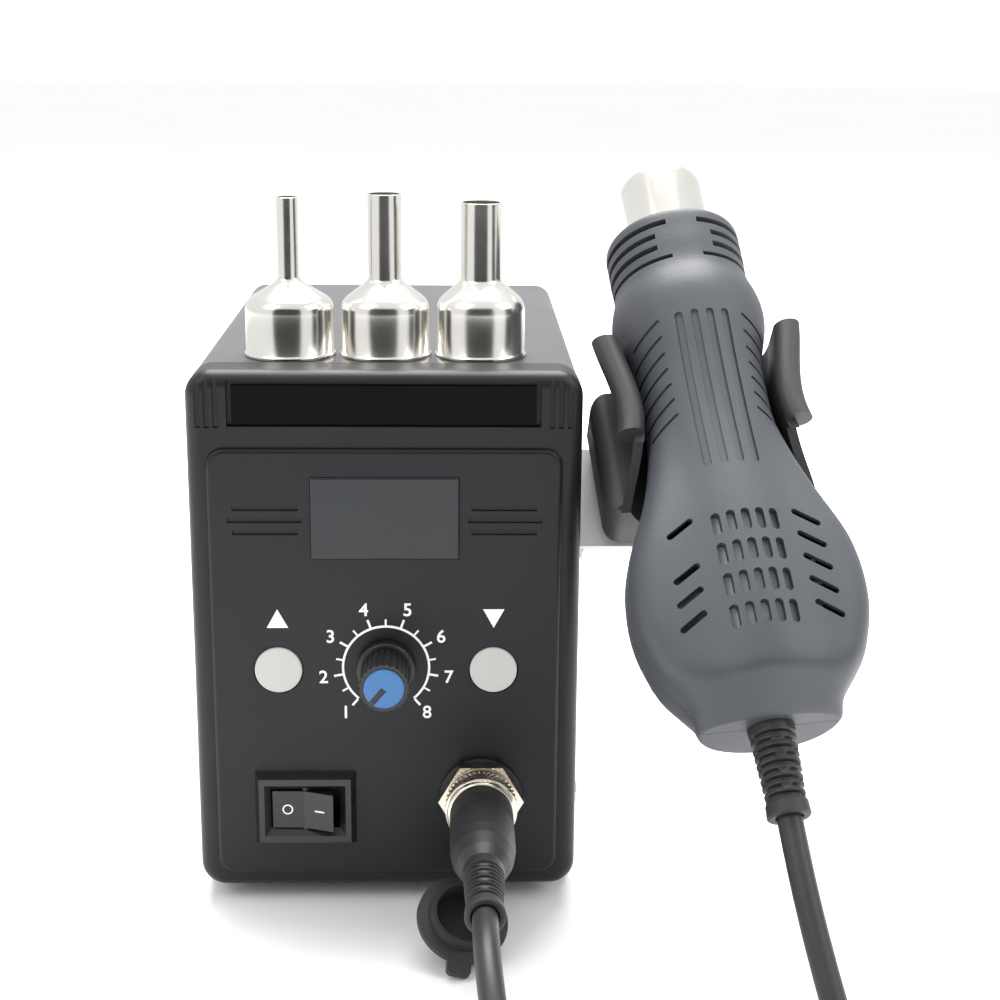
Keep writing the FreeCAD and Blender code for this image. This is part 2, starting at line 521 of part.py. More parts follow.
def outlet():
    """Round panel socket with its nut, and the mated plug: coupling ring, body and ribbed relief."""
    x, z = "socket_place", SOCKET_Z
    strap_front = f"({PANEL} - 2 * run_gap - strap_thick)"
    nut_front = f"({strap_front} - nut_thick)"
    mouth = f"({nut_front} - 4)"
    barrel = rod("socket_barrel", "y", "socket_radius", mouth, f"{FACE_BACK} + 6", x, z)
    flange = rod("socket_flange", "y", "socket_radius + 1.6", FACE_BACK, f"{FACE_BACK} + 1.5", x, z)
    bore = rod("socket_bore", "y", "socket_radius - 1.2", mouth, f"{FACE_BACK} - 1", x, z)
    pins = []
    holes = []
    for number in range(5):
        turn = math.radians(72 * number)
        px, pz = f"{x} + {4 * math.sin(turn)}", f"{z} + {4 * math.cos(turn)}"
        pins.append(rod(f"socket_pin{number}", "y", "0.6", f"{FACE_BACK} - 6", f"{FACE_BACK} + 9", px, pz))
        holes.append(rod(f"plug_hole{number}", "y", "0.75", f"{FACE_BACK} - 7", f"{FACE_BACK} - 0.5", px, pz))
    shell = cut("socket_shell", fuse("socket_solid", [barrel, flange]), [bore])
    node("panel_socket", fuse("socket", [shell] + pins))
    nut = hexagon("socket_hexagon", "nut_flats", "nut_thick", nut_front, x, z)
    nut = cut("socket_nut_ring", nut, [rod("socket_nut_bore", "y", "socket_radius + 0.05", f"{nut_front} - 1",
                                           f"{strap_front} + 1", x, z)])
    node("socket_nut", nut)
    ring_back = f"({nut_front} - run_gap)"
    ring_front = f"({ring_back} - ring_length)"
    ring = rod("ring_blank", "y", "ring_radius", ring_front, ring_back, x, z)
    cuts = [rod("ring_thread", "y", "socket_radius + run_gap", f"{ring_front} + 1.5", ring_back, x, z),
            rod("ring_lip", "y", "socket_radius - 1.6 + run_gap", f"{ring_front} - 1", f"{ring_front} + 2", x, z)]
    for number in range(36):
        turn = math.radians(10 * number)
        cuts.append(rod(f"ring_knurl{number}", "y", "0.35", f"{ring_front} + 0.8", f"{ring_back} - 0.8",
                        f"{x} + {math.sin(turn)} * (ring_radius + 0.1)",
                        f"{z} + {math.cos(turn)} * (ring_radius + 0.1)"))
    node("plug_ring", cut("ring", ring, cuts))
    body_back = f"({ring_front} - run_gap)"
    body_front = f"({body_back} - plug_length)"
    start, end = size(body_back), size(body_front)
    radius, nose = size("plug_radius"), size("socket_radius") - 1.6
    lip = size(f"{ring_front} + 1.5 + run_gap")
    profile = [(0, start), (nose, start), (nose, lip), (size("socket_radius") - 0.2, lip),
               (size("socket_radius") - 0.2, lip + 0.9), (nose, lip + 0.9), (nose, size(f"{FACE_BACK} - 1.4")),
               (0, size(f"{FACE_BACK} - 1.4"))]
    profile = [(r, -y) for r, y in profile]
    length = start - end
    outer = [(0, 0), (radius - 0.6, 0), (radius, 0.6)]
    for groove in (3, 5, 7):
        outer += [(radius, groove), (radius - 0.7, groove + 0.3), (radius - 0.7, groove + 0.9),
                  (radius, groove + 1.2)]
    outer += [(radius, 0.62 * length), (radius - 0.5, 0.75 * length), (radius - 1.6, 0.87 * length),
              (radius - 3, 0.96 * length), (radius - 3.6, length), (0, length)]
    outer = [(r, length_at - start) for r, length_at in outer]
    centre = Vector(size(x), 0, size(z))
    plug = turned(profile, Vector(0, -1, 0)).fuse(turned(outer, Vector(0, -1, 0)))
    plug.translate(centre)
    node("plug_body", cut("plug", shaped("plug_blank", plug), holes))
    relief = ribbed(size("relief_length"), 4.9, 4.2, 7, size("cord_radius"), 4)
    relief.rotate(Vector(), *swing(Vector(0, -1, 0)))
    relief.translate(Vector(size(x), end, size(z)))
    node("plug_relief", shaped("plug_boot", relief))


def ribbed(length, start, end, ribs, bore, plain):
    """A strain relief along +Z: a plain root, then rings that step down between grooves, with a bore."""
    pitch = (length - plain) / ribs
    points = [(0, 0), (start + 0.3, 0), (start + 0.3, plain)]
    for number in range(ribs):
        radius = start + (end - start) * number / (ribs - 1)
        low = plain + number * pitch
        points += [(radius - 0.9, low + 0.1 * pitch), (radius - 0.9, low + 0.4 * pitch),
                   (radius, low + 0.55 * pitch), (radius, low + 0.9 * pitch)]
    points += [(end - 0.6, length), (0, length)]
    return turned(points)


def dust_cap():
    """Rubber cap on a strap: the strap's ring turns behind the nut, and the cap hangs before the plug."""
    x, z = size("socket_place"), size(SOCKET_Z)
    back = size(f"{PANEL} - run_gap")
    thick = size("strap_thick")
    inner, outer = size("socket_radius") + 0.35, size("socket_radius") + 2.6
    ring = Part.makeCylinder(outer, thick, Vector(x, back, z), Vector(0, -1, 0))
    centre = Vector(19, -103, 8.4)
    up = Vector(0.25, -0.55, 0.8).normalize()
    hinge_side = (Vector(0, 1, 0) - up * up.y).normalize()
    root = centre - up * 1.2 + hinge_side * 8.6
    spots = [Vector(x - 2.5, back - thick / 2, z - outer + 1.2), Vector(x - 2.8, back - 1.7, z - outer - 2.4),
             Vector(x - 3.4, back - 6.5, root.z + 0.9), root + Vector(0.2, 5.5, -0.6), root]
    line = Part.BSplineCurve()
    line.interpolate(spots)
    first = spots[1] - spots[0]
    across = Vector(1, 0, 0)
    up_face = first.cross(across).normalize()
    strip = [spots[0] + across * a * 3 + up_face * b * thick / 2 for a, b in ((-1, -1), (1, -1), (1, 1), (-1, 1))]
    strap = Part.Wire([line.toShape()]).makePipeShell([Part.makePolygon(strip + strip[:1])], True, True)
    radius = size("dust_radius")
    cup = turned([(0, -3.4), (7.6, -3.4), (8.6, -2.6), (9.4, 0), (radius, 0.6), (radius, 2.2), (9, 2.6), (8.6, 5.4),
                  (7.5, 5.4), (7.3, -1.6), (0, -1.6)], up)
    cup.translate(centre)
    tab = Part.makeBox(6, 4.5, 1.6, Vector(-3, 0, 0))
    tab = tab.makeFillet(1.4, [e for e in tab.Edges if runs_along("z")(e) and e.Vertexes[0].Y > 1])
    tab.rotate(Vector(), Vector(0, 0, 1), 180)
    tab.translate(Vector(0, -radius + 1, 0.6))
    tab.rotate(Vector(), *swing(up))
    tab.translate(centre)
    cap = ring.fuse([strap, cup, tab]).cut(Part.makeCylinder(inner, thick + 2, Vector(x, back + 1, z),
                                                             Vector(0, -1, 0)))
    node("dust_cap", shaped("dust_cap_rubber", cap.removeSplitter()))


# Inside the housing

def supply():
    """Mains inlet, transformer and power board on the tray."""
    core = box("core_block", ("-20", "20"), (f"{BACK} - 54", f"{BACK} - 30"), (TRAY_TOP, f"{TRAY_TOP} + 34"))
    windows = [box(f"core_window{side}", (f"{x}", f"{x + 7}"), (f"{BACK} - 55", f"{BACK} - 29"),
                   (f"{TRAY_TOP} + 7", f"{TRAY_TOP} + 27")) for side, x in enumerate((-14, 7))]
    node("transformer_core", cut("core", core, windows))
    coil = box("coil_block", ("-13.7", "13.7"), (f"{BACK} - 60", f"{BACK} - 24"),
               (f"{TRAY_TOP} + 7.3", f"{TRAY_TOP} + 26.7"))
    coil = rounded("coil_round", coil, "4", runs_along("z"))
    limb = box("coil_limb", ("-7.2", "7.2"), (f"{BACK} - 54.2", f"{BACK} - 29.8"),
               (f"{TRAY_TOP} + 7", f"{TRAY_TOP} + 27"))
    node("transformer_coil", cut("coil", coil, [limb]))
    strap = box("strap_outer", ("-21.3", "21.3"), (f"{BACK} - 48", f"{BACK} - 36"),
                (TRAY_TOP, f"{TRAY_TOP} + 35.3"))
    inner = box("strap_inner", ("-20.1", "20.1"), (f"{BACK} - 49", f"{BACK} - 35"),
                (f"{TRAY_TOP} - 1", f"{TRAY_TOP} + 34.1"))
    feet = [box(f"strap_foot{side}", ends, (f"{BACK} - 48", f"{BACK} - 36"), (TRAY_TOP, f"{TRAY_TOP} + 1.2"))
            for side, ends in enumerate((("-32", "-20.1"), ("20.1", "32")))]
    strap = fuse("strap", [cut("strap_bent", strap, [inner])] + feet)
    bolts = [rod(f"strap_bolt{side}", "z", "2", f"{TRAY_TOP} + 1.2", f"{TRAY_TOP} + 3.2", f"{side * 27}",
                 f"{BACK} - 42") for side in (-1, 1)]
    node("transformer_bracket", fuse("strap_fixed", [strap] + bolts))
    level = f"({FLOOR} + board_level)"
    spots = [(x, y) for x in (-33, 33) for y in (6, 58)]
    start = f"({BEZEL_BACK} + 8)"
    board = plate("power_plate", "XY", "76", "64", "board_thick", ("-38", start, level),
                  [(f"{x + 38}", str(y), "screw_radius + 0.1") for x, y in spots])
    node("power_board", board)
    posts = []
    for number, (x, y) in enumerate(spots):
        post = rod(f"post{number}", "z", "3", TRAY_TOP, level, str(x), f"{start} + {y}")
        peg = rod(f"post_peg{number}", "z", "screw_radius", level, f"{level} + board_thick", str(x),
                  f"{start} + {y}")
        head = rod(f"post_head{number}", "z", "2.6", f"{level} + board_thick", f"{level} + board_thick + 2",
                   str(x), f"{start} + {y}")
        posts.append(fuse(f"board_post{number}", [post, peg, head]))
    node("board_spacers", group("board_post_set", posts))
    deck = f"({level} + board_thick)"
    sink = box("sink_block", ("12", "30"), (f"{start} + 16", f"{start} + 44"), (deck, f"{deck} + 32"))
    fins = [box(f"fin_gap{n}", (f"{14.5 + 3.6 * n}", f"{16.5 + 3.6 * n}"), (f"{start} + 15", f"{start} + 45"),
                (f"{deck} + 8", f"{deck} + 33")) for n in range(4)]
    node("heatsink", cut("sink", sink, fins))
    node("triac", box("triac_block", ("7.4", "12"), (f"{start} + 25", f"{start} + 35"), (deck, f"{deck} + 18")))
    node("capacitors", group("capacitor_pair", [
        rod(f"capacitor{n}", "z", "5", deck, f"{deck} + 20", "-8", f"{start} + {24 + 14 * n}") for n in range(2)]))
    clips = [box(f"fuse_clip{n}", ("-30", "-22"), (f"{start} + {24 + 17 * n}", f"{start} + {29 + 17 * n}"),
                 (deck, f"{deck} + 6")) for n in range(2)]
    fuse_hole = rod("fuse_hole", "y", "2.65", f"{start} + 23", f"{start} + 48", "-26", f"{deck} + 5")
    clips = [cut(f"fuse_clip_cut{n}", clip, [fuse_hole]) for n, clip in enumerate(clips)]
    tube = rod("fuse_tube", "y", "2.6", f"{start} + 25", f"{start} + 45", "-26", f"{deck} + 5")
    node("fuse", group("fuse_in_clips", clips + [tube]))
    block = box("terminal_block_body", ("-18", "18"), (f"{start} + 51", f"{start} + 61"), (deck, f"{deck} + 10"))
    wells = [rod(f"terminal_well{n}", "z", "1.9", f"{deck} + 5", f"{deck} + 11", f"{-14 + 5.6 * n}",
                 f"{start} + 56") for n in range(6)]
    node("terminal_block", cut("terminals", block, wells))
    inlet_body = box("inlet_body", ("-13.8", "13.8"), (f"{BACK} - 16", BACK), ("inlet_level - 10", "inlet_level + 10"))
    inlet_face = box("inlet_face", ("-25", "25"), (BACK, f"{BACK} + 2.6"), ("inlet_level - 11.5", "inlet_level + 11.5"))
    inlet_face = rounded("inlet_face_round", inlet_face, "4", runs_along("y"))
    cavity = box("inlet_cavity", ("-12.2", "12.2"), (f"{BACK} - 13", f"{BACK} + 3"),
                 ("inlet_level - 8.2", "inlet_level + 8.2"))
    cavity = rounded("inlet_cavity_round", cavity, "2", runs_along("y"))
    screw_holes = [rod(f"inlet_hole{side}", "y", "screw_radius + 0.1", BACK, f"{BACK} + 3", f"{side * 20}",
                       "inlet_level") for side in (-1, 1)]
    blades = [box(f"blade{n}", (f"{x - 1}", f"{x + 1}"), (f"{BACK} - 20", f"{BACK} - 3"),
                  (f"inlet_level + {z - 2}", f"inlet_level + {z + 2}")) for n, (x, z) in
              enumerate(((-7, -2), (0, 2), (7, -2)))]
    shell = cut("inlet_shell", fuse("inlet_solid", [inlet_body, inlet_face]), [cavity] + screw_holes)
    node("mains_inlet", fuse("inlet", [shell] + blades))
    for side in (-1, 1):
        head = rod(f"inlet_screw_head{side + 1}", "y", "2.8", f"{BACK} + 2.6", f"{BACK} + 4.2", f"{side * 20}",
                   "inlet_level")
        shank = rod(f"inlet_screw_shank{side + 1}", "y", "screw_radius", f"{BACK} - 5", f"{BACK} + 2.6",
                    f"{side * 20}", "inlet_level")
        OUTER_SCREWS.append(fuse(f"inlet_screw{side + 1}", [head, shank]))


# Nozzles

def nozzles():
    """Three slip-on nozzles: a rolled rim, a cup that fits the heater tube, a shoulder and a stem."""
    for number, (name, rise) in enumerate((("small", 0.3), ("medium", 1.2), ("large", -0.8))):
        wall, bore = size("nozzle_wall"), size("nozzle_bore")
        rim, base = size("nozzle_rim"), size("nozzle_base")
        shoulder, stem = size("nozzle_shoulder"), size(f"{name}_stem")
        top = base + shoulder + size("nozzle_stem") + rise
        outer = Part.BSplineCurve()
        outer.interpolate(curve_points(bore + wall, stem, base, shoulder, 0))
        inner = Part.BSplineCurve()
        inner.interpolate(curve_points(bore, stem - wall, base, shoulder, wall))
        start, end = outer.StartPoint, outer.EndPoint
        low, high = inner.StartPoint, inner.EndPoint
        lip = rim - bore - wall
        ring = [Vector(bore, 0, 0), Vector(rim, 0, 0), Vector(rim, 0, 0.7), Vector(bore + wall, 0, 0.7 + lip), start]
        edges = [Part.LineSegment(a, b).toShape() for a, b in zip(ring, ring[1:])]
        edges += [outer.toShape(), Part.LineSegment(end, Vector(stem, 0, top)).toShape(),
                  Part.LineSegment(Vector(stem, 0, top), Vector(stem - wall, 0, top)).toShape(),
                  Part.LineSegment(Vector(stem - wall, 0, top), high).toShape(), inner.toShape(),
                  Part.LineSegment(low, ring[0]).toShape()]
        wire = Part.Wire(Part.__sortEdges__(edges))
        solid = Part.Face(wire).revolve(Vector(), Vector(0, 0, 1), 360)
        x = size("nozzle_pitch") * (number - 1) - 0.5
        node(f"nozzle_{name}", shaped(f"{name}_nozzle", solid,
                                      Placement(Vector(x, size("nozzle_row"), size(ROOF)), Rotation())))


def curve_points(cup, stem, base, shoulder, drop):
    """The shoulder's S-curve from the cup's edge to the stem."""
    points = []
    for step in range(9):
        part = step / 8
        swell = 0.5 * (1 + math.cos(math.pi * part ** 0.75))
        points.append(Vector(stem + (cup - stem) * swell, 0, base - drop + shoulder * part ** 1.15))
    return points


# Handle, in its own frame: the tube's rim at y = 0, the body along -Y, +Z out of the holder

PLACE_TURN = Rotation(Vector(1, 0, 0), size("handle_tilt"))
HANDLE = Placement(Vector(size("tip_x"), size("tip_y"), size("tip_z")),
                   PLACE_TURN * Rotation(Vector(0, 0, 1), size("handle_cant")))
HOLDER = Placement(HANDLE.Base, PLACE_TURN)
SECTION_POINTS = 36


def stations():
    """Handle sections: distance from the rim, spine half width and height, pod half width and height, and
    the share of those heights that the upper side keeps."""
    collar, barrel, neck = size("collar_start"), size("barrel_radius"), size("neck_half")
    bulge, end, middle = size("bulge_radius"), size("handle_end"), size("blower_centre")
    rows = [
        (collar, 16.9, 16.9, 12, 12), (collar + 0.8, 17.6, 17.6, 12, 12), (collar + 2, 17.8, 17.8, 12, 12),
        (collar + 5, 17.8, 17.8, 12, 12), (collar + 10, 17.8, 17.8, 12, 12),
        (collar + 17, 17.9, 17.9, 12, 12), (collar + 20, barrel - 1, barrel - 1.1, 12, 12),
        (collar + 25, barrel, barrel - 0.2, 12, 12), (collar + 30, barrel - 0.2, barrel - 0.4, 12, 12),
        (collar + 36, barrel - 1.9, barrel - 0.9, 12, 12), (collar + 43, neck + 0.3, barrel - 1.7, 12, 12),
        (collar + 52, neck, barrel - 2.3, 12, 12), (collar + 60, neck, barrel - 2.5, 14, 11),
        (collar + 67, neck, barrel - 2.3, 16.6, 12.5), (collar + 75, neck + 0.3, barrel - 1.9, 19.2, 13.6),
        (middle - 20, neck + 0.6, barrel - 1.2, bulge - 5.6, 14.6),
        (middle - 10, neck + 0.8, barrel - 0.6, bulge - 1.6, 15.2),
        (middle, neck + 0.8, barrel - 0.3, bulge, 15.4), (middle + 11, neck + 0.9, barrel - 0.5, bulge - 0.8, 15.2),
        (middle + 17, neck + 1.1, barrel - 0.9, bulge - 2.6, 14.9), (end - 11.4, neck + 1.3, barrel - 1.4, bulge - 5.2, 14.6),
        (end - 8.4, neck + 1.4, barrel - 1.7, bulge - 7.6, 14.2, 0.97), (end - 5.4, neck + 1.4, barrel - 2, bulge - 10.4, 13.6, 0.81),
        (end - 2.6, neck + 1.3, barrel - 2.4, bulge - 13.4, 13, 0.64), (end - 0.6, neck + 0.9, barrel - 3, bulge - 15.4, 12, 0.52),
        (end, neck, barrel - 4, bulge - 16.6, 11, 0.47),
    ]
    return [row + (1,) * (6 - len(row)) for row in rows]


def section(place, spine_wide, spine_high, pod_wide, pod_high, upper, inset):
    """One closed section: the larger of an ellipse and a squarish pod, blended where they meet."""
    points = []
    for step in range(SECTION_POINTS):
        turn = 2 * math.pi * step / SECTION_POINTS
        across, up = math.cos(turn), math.sin(turn)
        spine = ((across / spine_wide) ** 2 + (up / spine_high) ** 2) ** -0.5
        pod = (abs(across / pod_wide) ** 4 + abs(up / pod_high) ** 4) ** -0.25
        reach = (spine ** 14 + pod ** 14) ** (1 / 14)
        high = reach * up * (upper if up > 0 else 1)
        share = 1 - inset / math.hypot(reach * across, high)
        points.append(Vector(reach * across * share, -place, high * share))
    ring = Part.BSplineCurve()
    ring.interpolate(Points=points, PeriodicFlag=True, Parameters=[float(k) for k in range(len(points) + 1)])
    return Part.Wire([ring.toShape()])


def handle_solid(inset, front=0, back=0):
    """The handle's outside, drawn in by inset, from its collar to its rounded end."""
    rows = [list(row) for row in stations()]
    if inset >= 1:
        rows = rows[3:-2]
        first = size("collar_start") + front
        rows = [[first] + rows[0][1:], [first + 2] + rows[0][1:]] + rows[1:]
        rows[-1][0] = size("handle_end") - back
    return Part.makeLoft([section(*row, inset) for row in rows], True, False)


def slot_prism(x, place, width, length, turn=0):
    """A tall round-ended cutter through the handle's upper side, centred at x and -place."""
    half = (length - width) / 2
    block = Part.makeBox(width, 2 * half, 40, Vector(-width / 2, -half, 0))
    ends = [Part.makeCylinder(width / 2, 40, Vector(0, y, 0)) for y in (-half, half)]
    prism = block.fuse(ends).removeSplitter()
    prism.rotate(Vector(), Vector(0, 0, 1), turn)
    prism.translate(Vector(x, -place, 0))
    return prism


def shells():
    """The handle's two moulded halves, with their slots, flutes, vents, front opening and cord hole."""
    outer = handle_solid(0)
    space = handle_solid(size("shell_wall"), 2.2, 3)
    wall = outer.cut(space)
    collar, middle = size("collar_start"), size("blower_centre")
    mouth = Part.makeCylinder(size("tube_radius") + 0.3, collar + 6, Vector(0, 0, 0), Vector(0, -1, 0))
    back = Part.makeCylinder(5.4, 12, Vector(0, 2 - size("handle_end"), 0), Vector(0, -1, 0))
    back.translate(Vector(0, 6, 0))
    cuts = [mouth, back]
    for number, (offset, width, begin) in enumerate(((4.0, 1.6, 13), (7.6, 1.6, 24), (11.2, 1.6, 24), (14.8, 1.2, 13))):
        for side in (-1, 1):
            ring = Part.makeCylinder(25, width, Vector(0, -collar - offset + width / 2, 0), Vector(0, -1, 0), 100)
            core = Part.makeCylinder(14.5, width, Vector(0, -collar - offset + width / 2, 0), Vector(0, -1, 0))
            ring = ring.cut(core)
            # The sector starts at the top of the handle and opens towards one side.
            start = ring.Solids[0].CenterOfMass
            now = math.degrees(math.atan2(start.x, start.z))
            ring.rotate(Vector(), Vector(0, 1, 0), side * (begin + 50) - now)
            cuts.append(ring)
    for row in range(4):
        for column in range(5):
            cuts.append(slot_prism(3.46 * (column - 2), middle - 11 + 8 * row, 2.05, 5.8))
    for number in range(5):
        for side in (-1, 1):
            cuts.append(slot_prism(side * (15.2 + 0.2 * number), middle - 12 + 6 * number, 1.6, 7.6, side * 58))
    flutes = [slot_prism(x, collar + 55, 1.9, 44) for x in (-5.85, -1.95, 1.95, 5.85)]
    for number in range(7):
        for side in (-1, 1):
            flutes.append(slot_prism(side * (13.6 - 0.12 * number), collar + 35 + 4.4 * number, 0.8, 7, side * 62))
    cuts.append(Part.makeCompound(flutes).cut(handle_solid(0.55)))
    body = wall.cut(cuts)
    gap = size("seam_gap")
    half = Part.makeBox(100, 240, 60, Vector(-50, -200, gap / 2))
    screws = screw_spots()
    upper = body.common(half)
    lower = body.common(half.mirror(Vector(), Vector(0, 0, 1)))
    posts_up = [Part.makeCylinder(2.6, 13.5, Vector(x, y, gap / 2)) for x, y in screws]
    posts_down = [Part.makeCylinder(2.6, 13.5, Vector(x, y, -gap / 2), Vector(0, 0, -1)) for x, y in screws]
    filled = handle_solid(1)
    posts_up = [post.common(filled) for post in posts_up]
    posts_down = [post.common(filled) for post in posts_down]
    bolt = size("screw_radius")
    upper = upper.fuse(posts_up).cut([Part.makeCylinder(bolt, 9, Vector(x, y, -1)) for x, y in screws])
    # The blower's seat is a disc across the lower half.
    seat = Part.makeCylinder(size("impeller_radius") + 12, 1.5, Vector(0, -middle, -10.6)).common(filled)
    lower = lower.fuse(posts_down + [seat]).cut([Part.makeCylinder(bolt + 0.1, 40, Vector(x, y, 1), Vector(0, 0, -1))
                                        for x, y in screws])
    lower = lower.cut([Part.makeCylinder(2.9, 30, Vector(x, y, -10), Vector(0, 0, -1)) for x, y in screws])
    node("handle_top_shell", shaped("top_shell", upper, HANDLE))
    node("handle_bottom_shell", shaped("bottom_shell", lower, HANDLE))
    bolts = []
    for x, y in screws:
        head = Part.makeCylinder(2.7, 2, Vector(x, y, -10), Vector(0, 0, -1))
        shank = Part.makeCylinder(bolt - 0.02, 16, Vector(x, y, -10))
        bolts.append(head.fuse(shank))
    node("shell_screws", shaped("shell_bolts", Part.makeCompound(bolts), HANDLE))


def screw_spots():
    """The four screws that hold the handle's halves together, as x and y."""
    middle = size("blower_centre")
    collar = size("collar_start")
    return [(14.4, -collar - 25), (-14.4, -collar - 25), (21.5, -middle - 16), (-21.5, -middle - 16)]


def tube_between(outer, inner, start, end):
    """A tube along the handle between two distances from the rim."""
    ring = Part.makeCylinder(outer, end - start, Vector(0, -start, 0), Vector(0, -1, 0))
    if inner:
        ring = ring.cut(Part.makeCylinder(inner, end - start + 2, Vector(0, 1 - start, 0), Vector(0, -1, 0)))
    return ring


def heater():
    """Steel tube with a rolled rim, its mica sleeve, the wound ceramic core and the mounting flange."""
    radius, wall = size("tube_radius"), size("tube_wall")
    collar = size("collar_start")
    end = collar + 36
    tube = turned([(radius - wall, 0.35), (radius - 1.6, 0.8), (radius - 1.9, 0.3), (radius - 1.6, 0),
                   (radius - 0.8, 0.05), (radius - 0.2, 0.5), (radius, 1.3), (radius, collar - 0.2),
                   (radius - 0.1, collar), (radius - 0.1, end), (radius - wall, end)],
                  Vector(0, -1, 0))
    node("heater_tube", shaped("tube", tube, HANDLE))
    sleeve = tube_between(radius - wall - 0.1, radius - wall - 0.5, 6, end - 2)
    node("mica_sleeve", shaped("sleeve", sleeve, HANDLE))
    core_radius = radius - wall - 1.6
    core = tube_between(core_radius, 2, 10, end - 2)
    for number in range(6):
        turn = math.radians(60 * number)
        core = core.cut(Part.makeCylinder(1.1, end, Vector(5 * math.sin(turn), 0, 5 * math.cos(turn)),
                                          Vector(0, -1, 0)))
    for number in range(9):
        core = core.cut(tube_between(core_radius + 1, core_radius - 0.7, 12 + 4.4 * number, 14.2 + 4.4 * number))
    node("heater_core", shaped("core_ceramic", core, HANDLE))
    coils = [tube_between(core_radius - 0.05, core_radius - 0.6, 12.4 + 4.4 * n, 13.8 + 4.4 * n) for n in range(9)]
    node("heater_coil", shaped("core_wire", Part.makeCompound(coils), HANDLE))
    inner = size("barrel_radius") - size("shell_wall")
    flange = tube_between(inner - 3.2, 2.5, end, end + 1.5).fuse(tube_between(core_radius - 0.5, 2.5, end - 2, end))
    node("heater_flange", shaped("flange", flange, HANDLE))


def blower():
    """Fan motor on its plate, with a bladed impeller that turns about the handle's +Z."""
    middle = size("blower_centre")
    radius = size("impeller_radius")
    motor = turned([(0, -9.1), (8.5, -9.1), (8.5, -3.1), (1.2, -3.1), (1.2, 6), (0, 6)])
    motor.translate(Vector(0, -middle, 0))
    node("fan_motor", shaped("motor", motor, HANDLE))
    hub = turned([(1.25, -2.7), (radius, -2.7), (radius, -1.5), (9.5, -1.5), (8, 3.4), (1.25, 3.4)])
    blades = []
    for number in range(18):
        blade = Part.makeBox(0.9, radius - 9.6, 8, Vector(-0.45, 9.2, -1.6))
        blade.rotate(Vector(0, 14, 0), Vector(0, 0, 1), 24)
        blade.rotate(Vector(), Vector(0, 0, 1), 20 * number)
        blades.append(blade)
    wheel = hub.fuse(blades).common(Part.makeCylinder(radius, 20, Vector(0, 0, -6)))
    wheel.translate(Vector(0, -middle, 0))
    node("impeller", shaped("wheel", wheel, HANDLE))
    board = Part.makeBox(18, 14, 1.4, Vector(-9, -size("collar_start") - 66, -8))
    ribs = [Part.makeBox(2, 14, 10, Vector(x, -size("collar_start") - 66, -18)) for x in (-8, 6)]
    lower = handle_solid(size("shell_wall") + 0.7, 2.2, 3)
    board = board.fuse([rib.common(lower) for rib in ribs])
    node("handle_board", shaped("board", board, HANDLE))


def handle_boot():
    """Strain relief at the handle's end, held by a flange inside the shells."""
    end = size("handle_end")
    boot = ribbed(size("handle_relief_length"), 5.5, 4.6, 7, size("cord_radius"), 2)
    boot = boot.fuse(turned([(0, -5), (7, -5), (7, -3.3), (5.2, -3.3), (5.2, 0), (0, 0)]))
    boot.rotate(Vector(), *swing(Vector(0, -1, 0)))
    boot.translate(Vector(0, -end, 0))
    node("handle_relief", shaped("handle_strain_relief", boot, HANDLE))


# Holder

def cradle():
    """Open channel round the handle's barrel, with rounded lips and a flat pad for its screws."""
    collar, gap, wall = size("collar_start"), size("cradle_gap"), size("cradle_wall")
    barrel, neck = size("barrel_radius"), size("neck_half")
    rise = size("cradle_rise")
    rows = [(collar + 33, barrel - 0.4 + gap), (collar + 39, barrel - 1.4 + gap), (collar + 46, neck + 0.9 + gap),
            (collar + 61, neck + 1 + gap), (collar + 67, neck + 2.6 + gap), (collar + 76, barrel + 2.6 + gap)]
    depth = barrel + 0.4

    def trough(extra, top):
        sections = []
        for place, half in rows:
            wide, deep = half + extra, depth + extra
            points = [Vector(-wide, -place, top), Vector(-wide, -place, 0)]
            points += [Vector(-wide * math.cos(math.pi * k / 12), -place, -deep * math.sin(math.pi * k / 12))
                       for k in range(1, 12)]
            points += [Vector(wide, -place, 0), Vector(wide, -place, top)]
            curve = Part.BSplineCurve()
            curve.interpolate(points[1:-1])
            edges = [Part.LineSegment(points[0], points[1]).toShape(), curve.toShape(),
                     Part.LineSegment(points[-2], points[-1]).toShape(),
                     Part.LineSegment(points[-1], points[0]).toShape()]
            sections.append(Part.Wire(edges))
        return Part.makeLoft(sections, True, False)

    body = trough(wall, rise)
    lips = []
    for side in (-1, 1):
        rings = []
        for place, half in rows[:4]:
            centre = Vector(side * (half + size("lip_radius")), -min(place, collar + 61), rise - 0.4)
            rings.append(Part.Wire([Part.Circle(centre, Vector(0, 1, 0), size("lip_radius")).toShape()]))
        lips.append(Part.makeLoft(rings, True, False))
    pad = Part.makeBox(22, 28, 8, Vector(-11, -collar - 76, -depth - wall - 1.2))
    side_block = Part.makeBox(13, 34, 18, Vector(-barrel - 8.6, -collar - 75.5, -depth - wall + 1))
    side_block = side_block.makeFillet(4.5, [edge for edge in side_block.Edges
                                             if abs(edge.Vertexes[0].X - edge.Vertexes[1].X) < 1e-6
                                             and edge.CenterOfMass.x < -barrel - 5])
    inner = trough(0, rise + 12)
    ramp = Part.makeBox(80, 60, 40, Vector(-40, -60, 0))
    ramp.rotate(Vector(), Vector(1, 0, 0), 38)
    ramp.translate(Vector(0, -collar - 62, rise - 2))
    body = body.fuse(lips + [pad, side_block]).cut([inner, ramp])
    level = -depth - wall - 1.2
    body = body.cut([Part.makeCylinder(size("screw_radius"), 3.2, Vector(0, y, level)) for y in cradle_bolts()])
    node("cradle", shaped("cradle_channel", body, HANDLE))


def cradle_bolts():
    """The cradle's two screws, as distances along the handle."""
    return [-size("collar_start") - 53, -size("collar_start") - 71]


